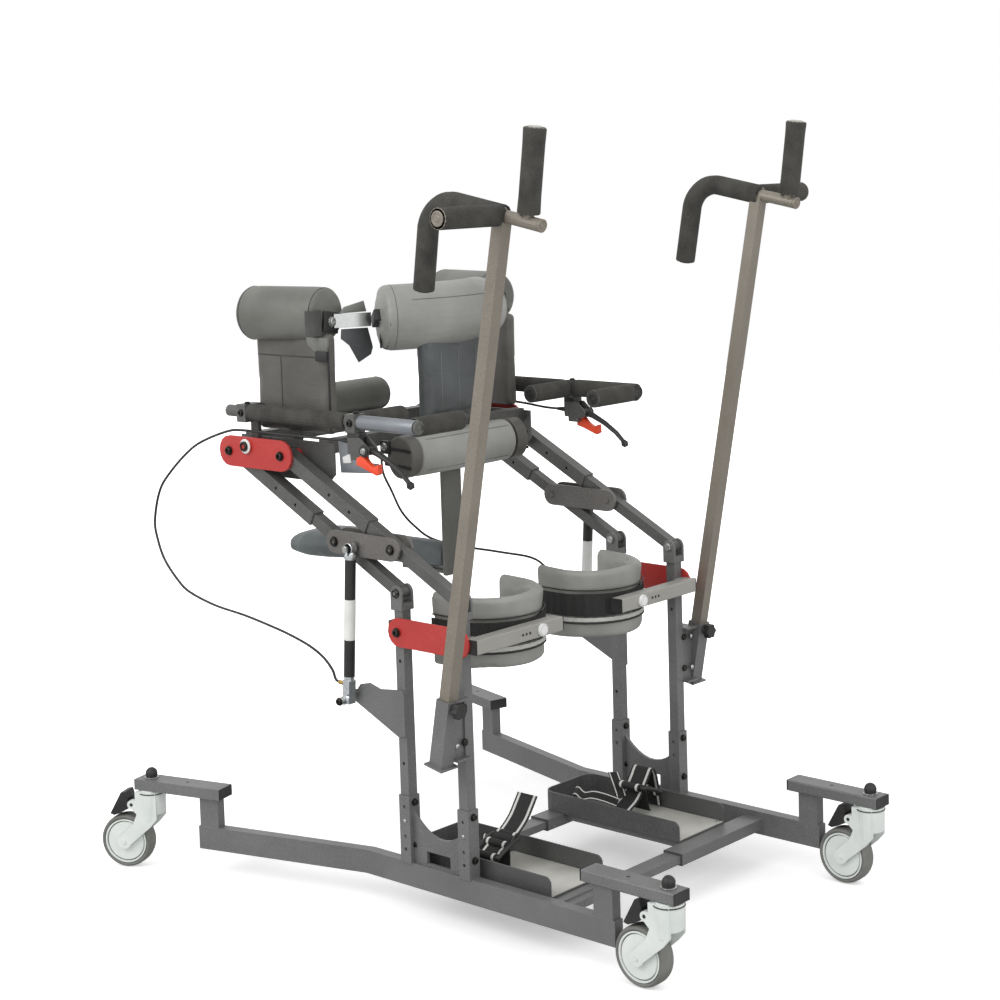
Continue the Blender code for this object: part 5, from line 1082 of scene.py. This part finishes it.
for side, (lift, reach, run, slope, height) in HANDLE.items():
    flip = Matrix.Diagonal((1, 1 if side == "right" else -1, 1))
    top, bend, body = post_top(lift), 0.055, "handle_" + side
    last = top - AHEAD * run
    hub = last - POST_DIR * bend
    back = [top + AHEAD * 0.004, top - AHEAD * 0.030, top - AHEAD * 0.060, last]
    for i in range(1, 11):
        angle = 84 * DEG * i / 10
        back.append(hub - AHEAD * (bend * math.sin(angle)) + POST_DIR * (bend * math.cos(angle)))
    drop = Vector((-slope, 0, -1)).normalized()
    back += [back[-1] + drop * s for s in (0.020, 0.060, 0.105)]
    standing = [top + AHEAD * reach + STAND * s for s in (0.0125, 0.040, 0.080, 0.120, height)]
    root = top - AHEAD * 0.004
    outward = [root + Vector((0, -s, 0)) for s in (0.002, 0.040, 0.090, 0.140)]
    for name, path, flare, seal, radius, slot in (
            ("back", back, 0.0, BLACK_PLASTIC, 0.0105, "plastic_black"),
            ("standing", standing, 0.0007, MAT_INSERT, 0.0115, "castor_plastic_pale"),
            ("outward", outward, 0.0, BROWN_COAT, 0.0125, "painted_steel_brown")):
        path = [flip @ p for p in path]
        fit(foam_sleeve(path, flare=flare), "foam_%s_%s" % (name, side), FOAM_BLACK, body)
        cap = tube_plug(path[-1], path[-1] - path[-2], radius)
        fit(cap, "plug_%s_%s" % (name, side), seal, body)
    stub = tube_plug(flip @ (top + AHEAD * 0.083), AHEAD, 0.0108)
    fit(stub, "plug_stub_" + side, BROWN_COAT, body)
print("foam grips on both handles")

# %% [markdown]
# ## Carriage side bars, clamps and hand levers
# Each side bar is tube with a foam sleeve between two clamps. Two foam rolls reach inwards from
# it. The near bar's front end is bare blue-grey tube with a ringed plug, and the far one wears
# foam. Under each front clamp hangs a lever in a black housing, with a bright orange-red button.

# %% Rolls, bar ends and plugs
BAR_Z = 0.853
for name, x in (("rear", -0.102), ("front", 0.042)):
    path = [at(x, -y, BAR_Z - 0.0005) for y in (0.281, 0.250, 0.200, 0.1685)]
    for side, sign in (("right", 1), ("left", -1)):
        step = Vector((0.012 if name == "front" and side == "left" else 0.0, 0, 0))
        turned_path = [Matrix.Diagonal((1, sign, 1)) @ p + step for p in path]
        sleeve = foam_sleeve(turned_path, 0.0169)
        fit(sleeve, "foam_roll_%s_%s" % (name, side), FOAM_BLACK, "carriage")
        cap = tube_plug(turned_path[-1], (0, sign, 0), 0.0100)
        fit(cap, "plug_roll_%s_%s" % (name, side), BLACK_PLASTIC, "carriage")
tube = bent_bar([at(x, -0.285, BAR_Z) for x in (-0.084, -0.080, 0.000, 0.0510, 0.0515)],
                [0.0127, 0.0130, 0.0130, 0.0130, 0.0127], 24)
fit(tube, "bare_bar_right", BLUE_COAT, "carriage")
fit(tube_plug(at(0.0560, -0.285, BAR_Z), (1, 0, 0), 0.0118), "plug_bar_right", SEAT_COAT, "carriage")
path = [at(x, 0.285, BAR_Z) for x in (-0.086, -0.060, -0.010, 0.040, 0.0655)]
fit(foam_sleeve(path, 0.0168), "foam_bar_left", FOAM_BLACK, "carriage")
fit(tube_plug(at(0.0680, 0.285, BAR_Z), (1, 0, 0), 0.0118), "plug_bar_left", BLACK_PLASTIC, "carriage")
fit_both(tube_plug(at(-0.433, -0.285, BAR_Z), (-1, 0, 0), 0.0108), "plug_bar_rear", MAT_INSERT, "carriage")

# %% [markdown]
# Clamps hold the side bars, and each hand lever sits in a housing with its lock button. They are
# small bevelled blocks, flat shapes and turned pieces.

# %% Clamp screws, housings and buttons
for name, x in (("rear", -0.388), ("front", -0.100)):
    screw = aim(cap_screw(0.0055, 0.0040), at(x, -0.2975, BAR_Z - 0.001), (0, -1, 0))
    fit_both(screw, "clamp_screw_side_" + name, DARK_STEEL, "carriage")
    screw = aim(cap_screw(0.0048, 0.0040), at(x + 0.004, -0.285, BAR_Z + 0.0145), (0, 0, 1))
    fit_both(screw, "clamp_screw_top_" + name, DARK_STEEL, "carriage")
shell = block(at(-0.1112, -0.2956, 0.8010), at(-0.0815, -0.2744, 0.8352), 0.0025)
fit_both(shell, "lever_housing", BLACK_PLASTIC, "carriage")
cheek = aim(turned([(0.0, 0.0098), (0.0010, 0.0104), (0.0028, 0.0104), (0.0034, 0.0094)], 24),
            at(-0.066, -0.2966, 0.806), (0, -1, 0))
fit_both(cheek, "lever_cheek", BLACK_PLASTIC, "carriage")
screw = aim(cap_screw(0.0046, 0.0030), at(-0.066, -0.2998, 0.806), (0, -1, 0))
fit_both(screw, "lever_screw", ZINC, "carriage")
tab = sheet_shape([at(x, -0.2910, z) for x, z in ((-0.0880, 0.7920), (-0.0730, 0.7985), (-0.0600, 0.7860),
                                                 (-0.0470, 0.7790), (-0.0345, 0.7850), (-0.0335, 0.7690),
                                                 (-0.0400, 0.7650), (-0.0720, 0.7760),
                                                 (-0.0880, 0.7800))], 0.0110, 0.0012)
fit_both(tab, "lock_tab", ORANGE_PLASTIC, "carriage")
tab = sheet_shape([at(x, -0.2620, z) for x, z in ((-0.1690, 0.8160), (-0.1230, 0.8180), (-0.1190, 0.7790),
                                                 (-0.0680, 0.7790), (-0.0700, 0.7620),
                                                 (-0.1640, 0.7560))], 0.0030)
fit(tab, "lever_plate", BLUE_COAT, "carriage")
tab = sheet_shape([at(x, -0.2650, z) for x, z in ((-0.1560, 0.7850), (-0.1370, 0.7920), (-0.1340, 0.7760),
                                                 (-0.1540, 0.7740))], 0.0022, 0.0004)
fit(tab, "lever_clip", WHITE_CAP, "carriage")
print("clamps, housings and buttons")

# %% [markdown]
# ## Gas springs and hip bolts
# A gas spring has a chromed eye at the top, a black cylinder, and a plain white band round it. Its
# release head below is plated steel, and its bolts are zinc plated.

# %% Gas spring trims, hip and brace bolts
SPRING_TOP, SPRING_FOOT = at(-0.08893, -0.3165, 0.63784), at(-0.107, -0.3165, 0.372)
SPRING = (SPRING_TOP - SPRING_FOOT).normalized()


def on_spring(z):
    """The point of the right spring's centre line at a height."""
    return SPRING_FOOT + SPRING * ((z - SPRING_FOOT.z) / SPRING.z)


band = aim(turned([(0.0, 0.00985), (0.0004, 0.01015), (0.0716, 0.01015), (0.0720, 0.00985)], 32),
           on_spring(0.476), SPRING)
fit_both(band, "spring_band", WHITE_CAP, "gas_cylinder_{side}")
collar = aim(turned([(0.0, 0.0102), (0.0015, 0.0112), (0.0070, 0.0112), (0.0085, 0.0095),
                     (0.0140, 0.0070)], 28),
             on_spring(0.6185), SPRING)
fit_both(collar, "spring_collar", CHROME, "gas_cylinder_{side}")
eye = aim(turned([(0.0, 0.0088), (0.0008, 0.0098), (0.0132, 0.0098), (0.0140, 0.0088)], 28),
          SPRING_TOP + Vector((0, 0.0070, 0)), (0, -1, 0))
fit_both(eye, "spring_eye", CHROME, "gas_cylinder_{side}")
screw = aim(hex_head(0.0068, 0.0045), SPRING_TOP + Vector((0, -0.0110, 0)), (0, -1, 0))
fit_both(screw, "spring_screw_top", ZINC, "gas_cylinder_{side}")
gland = aim(turned([(0.0, 0.0086), (0.0012, 0.0096), (0.0055, 0.0096), (0.0065, 0.0088)], 28),
            on_spring(0.4062), SPRING)
fit_both(gland, "spring_gland", CHROME, "gas_cylinder_{side}")
screw = aim(cap_screw(0.0060, 0.0045), SPRING_FOOT + Vector((-0.004, -0.0190, -0.004)), (0, -1, 0))
fit_both(screw, "spring_screw_foot", DARK_STEEL, "gas_rod_{side}")
ring = aim(turned([(0.0, 0.0128), (0.0008, 0.0134), (0.0024, 0.0134), (0.0032, 0.0120)], 32),
           at(-0.3661, -0.3076, 0.7939), (0, -1, 0))
fit_both(ring, "hip_ring", WHITE_CAP, "carriage")
screw = aim(cap_screw(0.0092, 0.0062), at(-0.3661, -0.3090, 0.7939), (0, -1, 0))
fit_both(screw, "hip_ring_bolt", DARK_STEEL, "carriage")
for name, x in (("rear", 0.003), ("front", 0.143)):
    screw = aim(cap_screw(0.0066, 0.0046), at(x, -0.3030, 0.499), (0, -1, 0))
    fit_both(screw, "brace_screw_" + name, DARK_STEEL, "base")
stop = block(at(-0.0240, -0.2962, 0.4935), at(-0.0078, -0.2768, 0.5165), 0.002)
fit_both(stop, "brace_stop", BLACK_PLASTIC, "base")
print("springs and bolts dressed")

# %% [markdown]
# ## Knee supports
# Each knee cup is a light vinyl pad on a steel band. A ribbed black belt runs round it, slightly
# wavy because the padding pushes between its stitches, with a thin strap line above and a light
# strip below. The knee bar has a white round cap where it holds the cup.

# %% Knee pads, belts, caps and end blocks
CUP = at(0.0660, -0.136, 0)
CUP_R, CUP_LEG = 0.095, 0.046


def round_cup(out, z, ripple=0.0, count=84):
    """A path round the cup in plan, from its inner rear end to its outer one."""
    radius, path = CUP_R + out, []
    arc = math.pi * CUP_R
    for i in range(count + 1):
        run = (2 * CUP_LEG + arc) * i / count
        wave = ripple * math.sin(run / 0.0165 * 2 * math.pi)
        if run < CUP_LEG:
            path.append(CUP + Vector((run - CUP_LEG, radius + wave, z)))
        elif run < CUP_LEG + arc:
            angle = math.pi / 2 - (run - CUP_LEG) / CUP_R
            path.append(CUP + Vector(((radius + wave) * math.cos(angle),
                                      (radius + wave) * math.sin(angle), z)))
        else:
            path.append(CUP + Vector((CUP_LEG + arc - run, -radius - wave, z)))
    return path


cup = stuffed(copy_of("knee_pad_right", 0.0016), voxel=0.0045, pressure=3.0, cap=0.0035)
for side, made in zip(("right", "left"), fit_both(cup, "knee_cushion", VINYL_LIGHT, "base")):
    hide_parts("knee_pad_" + side)
belt = strap(round_cup(0.0008, 0.4930, 0.0012), (0, 0, 1), 0.0400, 0.0018)
fit_both(belt, "knee_belt", PLAIN_TAPE, "base")
fit_both(bent_bar(round_cup(0.0016, 0.5205, 0.0006), [0.0013] * 85, 8), "knee_line_upper", BLACK_PLASTIC,
         "base")
fit_both(strap(round_cup(0.0010, 0.4665, 0.0008), (0, 0, 1), 0.0070, 0.0016), "knee_strip", PALE_TAPE,
         "base")
# A thin black line of painted shade marks the groove below the light strip.
fit_both(bent_bar(round_cup(0.0012, 0.4600, 0.0005), [0.0016] * 85, 8), "knee_line_lower", BLACK_PLASTIC,
         "base")
cap = aim(turned([(0.0, 0.0104), (0.0008, 0.0110), (0.0050, 0.0110), (0.0062, 0.0098),
                  (0.0066, 0.0050)], 32),
          at(0.1870, -0.136, 0.496), (1, 0, 0))
fit_both(cap, "knee_cap", WHITE_CAP, "base")
for name, y, way in (("inner", -0.0800, (0, 1, 0)), ("outer", -0.2965, (0, -1, 0))):
    fit_both(plug(at(0.1748, y, 0.496), way, 0.0250, 0.0250), "knee_bar_plug_" + name, BLACK_PLASTIC,
             "base")
for k in range(3):
    hole = aim(turned([(0.0, 0.0026), (0.0004, 0.0026)], 14), at(0.1871, -0.166 - 0.009 * k, 0.496),
               (1, 0, 0))
    fit_both(hole, "knee_hole_%d" % k, BLACK_PLASTIC, "base")
print("knee supports dressed")

# %% [markdown]
# ## Foot trays
# Each tray has a pale ribbed mat in its front half, and a strap over the foot. The strap is wide
# black webbing with a white stripe along each edge. It stands up in a stiff loop, its free end
# goes through a ladder buckle, and the rest lies folded beside it.

# %% Mats, straps and buckles
TRAY_STEP = Vector((0, -0.047, 0))


def both_trays(piece, name, material):
    """Fit a piece in the right tray, and its mirror image in the left tray."""
    other = twin(piece, TRAY_STEP, mirror=True)
    return fit(piece, name + "_right", material, "base"), fit(other, name + "_left", material,
                                                                    "base")


FLOOR_Z = 0.0851
mat = block(at(0.100, -0.2590, FLOOR_Z + 0.0001), at(0.3030, -0.1310, FLOOR_Z + 0.0019), 0.0006)
both_trays(mat, "tray_mat", MAT_INSERT)
loops = {"right": [(0.144, -0.2585, 0.0880), (0.143, -0.2480, 0.1080), (0.142, -0.2250, 0.1260),
                   (0.140, -0.1920, 0.1390), (0.138, -0.1600, 0.1590), (0.137, -0.1400, 0.1820),
                   (0.137, -0.1300, 0.1960)],
         "left": [(0.140, 0.0850, 0.0890), (0.140, 0.1180, 0.1040), (0.140, 0.1460, 0.1190),
                  (0.140, 0.1700, 0.1480), (0.140, 0.1845, 0.1660), (0.140, 0.1950, 0.1560),
                  (0.140, 0.2020, 0.1280), (0.140, 0.2090, 0.0900)]}
for side, points in loops.items():
    loop = strap(smooth_curve(points), (1, 0, 0), 0.046)
    fit(loop, "foot_loop_" + side, STRIPED_TAPE, "base")
    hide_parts("foot_strap_" + side)
tail = [(0.100, -0.2480, 0.1180), (0.102, -0.2330, 0.1290), (0.100, -0.2210, 0.1210),
        (0.100, -0.2110, 0.1090),
        (0.100, -0.1970, 0.1160), (0.098, -0.1900, 0.1290), (0.096, -0.1810, 0.1230),
        (0.096, -0.1720, 0.1040)]
fit(strap(smooth_curve(tail), (1, -0.1, 0), 0.030), "foot_tail_right", STRIPED_TAPE, "base")
tail = [(0.128, 0.1240, 0.1120), (0.110, 0.1080, 0.1220), (0.092, 0.0960, 0.1270), (0.074, 0.0900, 0.1235),
        (0.058, 0.0930, 0.1290), (0.044, 0.0990, 0.1240), (0.036, 0.1060, 0.1080)]
fit(strap(smooth_curve(tail), (0.2, 0.5, 1), 0.018), "foot_tail_left", STRIPED_TAPE, "base")
ear = [(0.126, 0.1400, 0.1120), (0.116, 0.1430, 0.1300), (0.106, 0.1450, 0.1480), (0.100, 0.1460, 0.1590)]
fit(strap(smooth_curve(ear), (0.8, 0.6, 0), 0.020), "foot_ear_left", STRIPED_TAPE, "base")
flap = [(0.141, -0.1960, 0.1440), (0.142, -0.2040, 0.1410), (0.143, -0.2085, 0.1250),
        (0.145, -0.2115, 0.1080),
        (0.147, -0.2150, 0.0920)]
both_trays(strap(smooth_curve(flap), (1, 0, 0), 0.044), "foot_flap", PLAIN_TAPE)
for name, y, z in (("near", -0.2440, 0.1195), ("middle", -0.2160, 0.1330), ("far", -0.1900, 0.1410)):
    rung = bent_bar([at(0.1140, y, z), at(0.1155, y, z), at(0.1700, y, z + 0.001),
                     at(0.1715, y, z + 0.001)],
                    [0.0026, 0.0042, 0.0042, 0.0026], 16)
    both_trays(rung, "buckle_rung_" + name, BLACK_PLASTIC)
    # Striped webbing wraps each rung; its white stripes also serve as painted highlights on the rung's
    # ends.
    wrap = strap([at(0.1425, y + 0.0062 * math.cos(a * 30 * DEG), z + 0.0062 * math.sin(a * 30 * DEG))
                  for a in range(13)], (1, 0, 0), 0.050, 0.0016)
    both_trays(wrap, "buckle_wrap_" + name, STRIPED_TAPE)
for name, x in (("rear", 0.1150), ("front", 0.1705)):
    cheek = bent_bar([at(x, -0.2460, 0.1190), at(x, -0.2330, 0.1270), at(x, -0.2050, 0.1380),
                      at(x, -0.1880, 0.1415)],
                     [0.0028, 0.0040, 0.0040, 0.0028], 12)
    both_trays(cheek, "buckle_cheek_" + name, BLACK_PLASTIC)
for name, x, y in (("a", 0.2960, -0.2530), ("b", 0.2960, -0.1370)):
    both_trays(aim(cap_screw(0.0036, 0.0020), at(x, y, FLOOR_Z + 0.0018), (0, 0, 1)),
               "tray_screw_" + name, ZINC)
print("mats, straps and buckles in both trays")

# %% [markdown]
# ## Leg sleeves
# The leg tubes slide in sleeves with a row of holes. Bright spring buttons sit in some of them,
# and two dark set screws in each sleeve's front clamp the tube. The cross bar's outer sleeve ends in a
# gap, drawn as a dark line of painted shade.

# %% Buttons, knobs and gap lines
for name, x in (("rear", 0.003), ("front", 0.143)):
    for z in (0.1669,):
        dot = aim(button(0.0036, 0.0022), at(x, -0.2990, z), (0, -1, 0))
        fit_both(dot, "sleeve_button_" + name, ZINC, "base")
    for level, z in (("upper", 0.200), ("lower", 0.125)):
        stem = aim(turned([(0.0, 0.0066), (0.0010, 0.0066), (0.0012, 0.0052), (0.0050, 0.0052),
                           (0.0058, 0.0042), (0.0058, 0.0020)], 20), at(x + 0.0122, -0.2865, z), (1, 0, 0))
        fit_both(stem, "sleeve_knob_%s_%s" % (name, level), DARK_STEEL, "base")
for level, z in (("upper", 0.390), ("lower", 0.330)):
    dot = aim(button(0.0048, 0.0034), at(0.1555, -0.3190, z), (1, 0, 0))
    fit_both(dot, "socket_dot_" + level, ZINC, "base")
    nut = aim(hex_head(0.0062, 0.0040), at(0.1530, -0.2985, z + 0.002), (1, 0, 0))
    fit_both(nut, "socket_nut_" + level, DARK_STEEL, "base")
for name, x in (("front", 0.324), ("rear", 0.010)):
    gap = block(at(x - 0.0206, 0.0368, 0.0613), at(x + 0.0206, 0.0388, 0.0827), 0.0003)
    fit(gap, "cross_gap_" + name, PAINTED_SHADE_LINE, "base")
print("sleeves dressed")

# %% [markdown]
# ## Cable ends
# Where the cable leaves the lever housing it goes through a tapered rubber boot, which keeps it
# from kinking. It ends in a brass ferrule at the spring's release head.

# %% Boots and ferrules
BRASS = plated("brass", "#c9a75f", "#9b7c40", 0.30)
for side in ("right", "left"):
    upper, lower = cable_paths[side]
    boot = aim(turned([(-0.001, 0.0062), (0.004, 0.0062), (0.006, 0.0050), (0.012, 0.0044), (0.020, 0.0036),
                       (0.026, 0.0029)], 20), upper[0], (-1, 0, 0))
    fit(boot, "cable_boot_" + side, BLACK_PLASTIC, "carriage")
    ferrule = aim(turned([(-0.0005, 0.0046), (0.0050, 0.0046), (0.0056, 0.0036), (0.0150, 0.0036),
                          (0.0156, 0.0028)], 20), lower[-1], (-1, 0, 0))
    fit(ferrule, "cable_ferrule_" + side, BRASS, "gas_rod_" + side)
print("boots and ferrules on both cables")

# %% [markdown]
# ## Floor and light
# A white floor and surround, as in a catalogue studio. The world is white to the camera and to
# mirror rays, and dimmer as a lamp. The floor is white paper: near the castors it is lit and takes
# the shadows, and further out it fades to pure white, but only for the camera, so it never throws
# more light on the object. Two large soft lamps shape the object: a key from the camera's left,
# and a weaker fill from its right.

# %% Floor, world and lamps
clear()
bpy.ops.mesh.primitive_plane_add(size=14, location=(0, 0, -0.0006))
floor = bpy.context.object
floor.name = "floor"
floor_material, floor_tree, floor_shader, floor_place = new_material("studio_floor")
seen = node(floor_tree, "ShaderNodeLightPath").outputs["Is Camera Ray"]
shown = node(floor_tree, "ShaderNodeMix",
             {"data_type": "RGBA", 6: colour("#d2d2d2"), 7: colour("#ffffff")}, i0=seen)
floor_tree.links.new(shown.outputs[2], floor_shader.inputs["Base Color"])
reach = node(floor_tree, "ShaderNodeVectorMath", {"operation": "LENGTH"}, i0=floor_place)
fade = node(floor_tree, "ShaderNodeMapRange",
            {"From Min": 0.45, "From Max": 1.25, "To Min": 0.30, "To Max": 1.0,
                                               "interpolation_type": "SMOOTHSTEP"},
                                               Value=reach.outputs["Value"])
glow = node(floor_tree, "ShaderNodeMath", {"operation": "MULTIPLY"}, i0=fade.outputs[0], i1=seen)
floor_tree.links.new(glow.outputs[0], floor_shader.inputs["Emission Strength"])
floor_shader.inputs["Emission Color"].default_value = (1, 1, 1, 1)
floor_shader.inputs["Roughness"].default_value = 0.9
floor_shader.inputs["Specular IOR Level"].default_value = 0.1
floor.data.materials.append(floor_material)

world = bpy.data.worlds.new("studio")
bpy.context.scene.world = world
world.use_nodes = True
rays = node(world.node_tree, "ShaderNodeLightPath")
direct = node(world.node_tree, "ShaderNodeMath", {"operation": "MAXIMUM"}, i0=rays.outputs["Is Camera Ray"],
              i1=rays.outputs["Is Glossy Ray"])
clear_ray = node(world.node_tree, "ShaderNodeMath", {"operation": "MAXIMUM"}, i0=direct.outputs[0],
                 i1=rays.outputs["Is Transmission Ray"])
strength = node(world.node_tree, "ShaderNodeMapRange", {"To Min": 0.72, "To Max": 1.0},
                Value=clear_ray.outputs[0])
world.node_tree.links.new(strength.outputs[0], world.node_tree.nodes["Background"].inputs["Strength"])
world.node_tree.nodes["Background"].inputs["Color"].default_value = (1, 1, 1, 1)


def lamp(name, place, target, size, power):
    """A square soft lamp that faces a point."""
    light = bpy.data.lights.new(name, "AREA")
    light.size = size
    light.energy = power
    holder = bpy.data.objects.new(name, light)
    bpy.context.scene.collection.objects.link(holder)
    holder.location = place
    holder.rotation_euler = (Vector(target) - Vector(place)).to_track_quat("-Z", "Y").to_euler()
    return holder


lamp("key", (-0.6, -3.2, 3.0), (0, 0, 0.6), 2.2, 54)
lamp("fill", (3.4, -0.6, 2.2), (0, 0, 0.6), 2.4, 28)
bpy.context.scene.view_settings.view_transform = "Standard"
print("stage set")
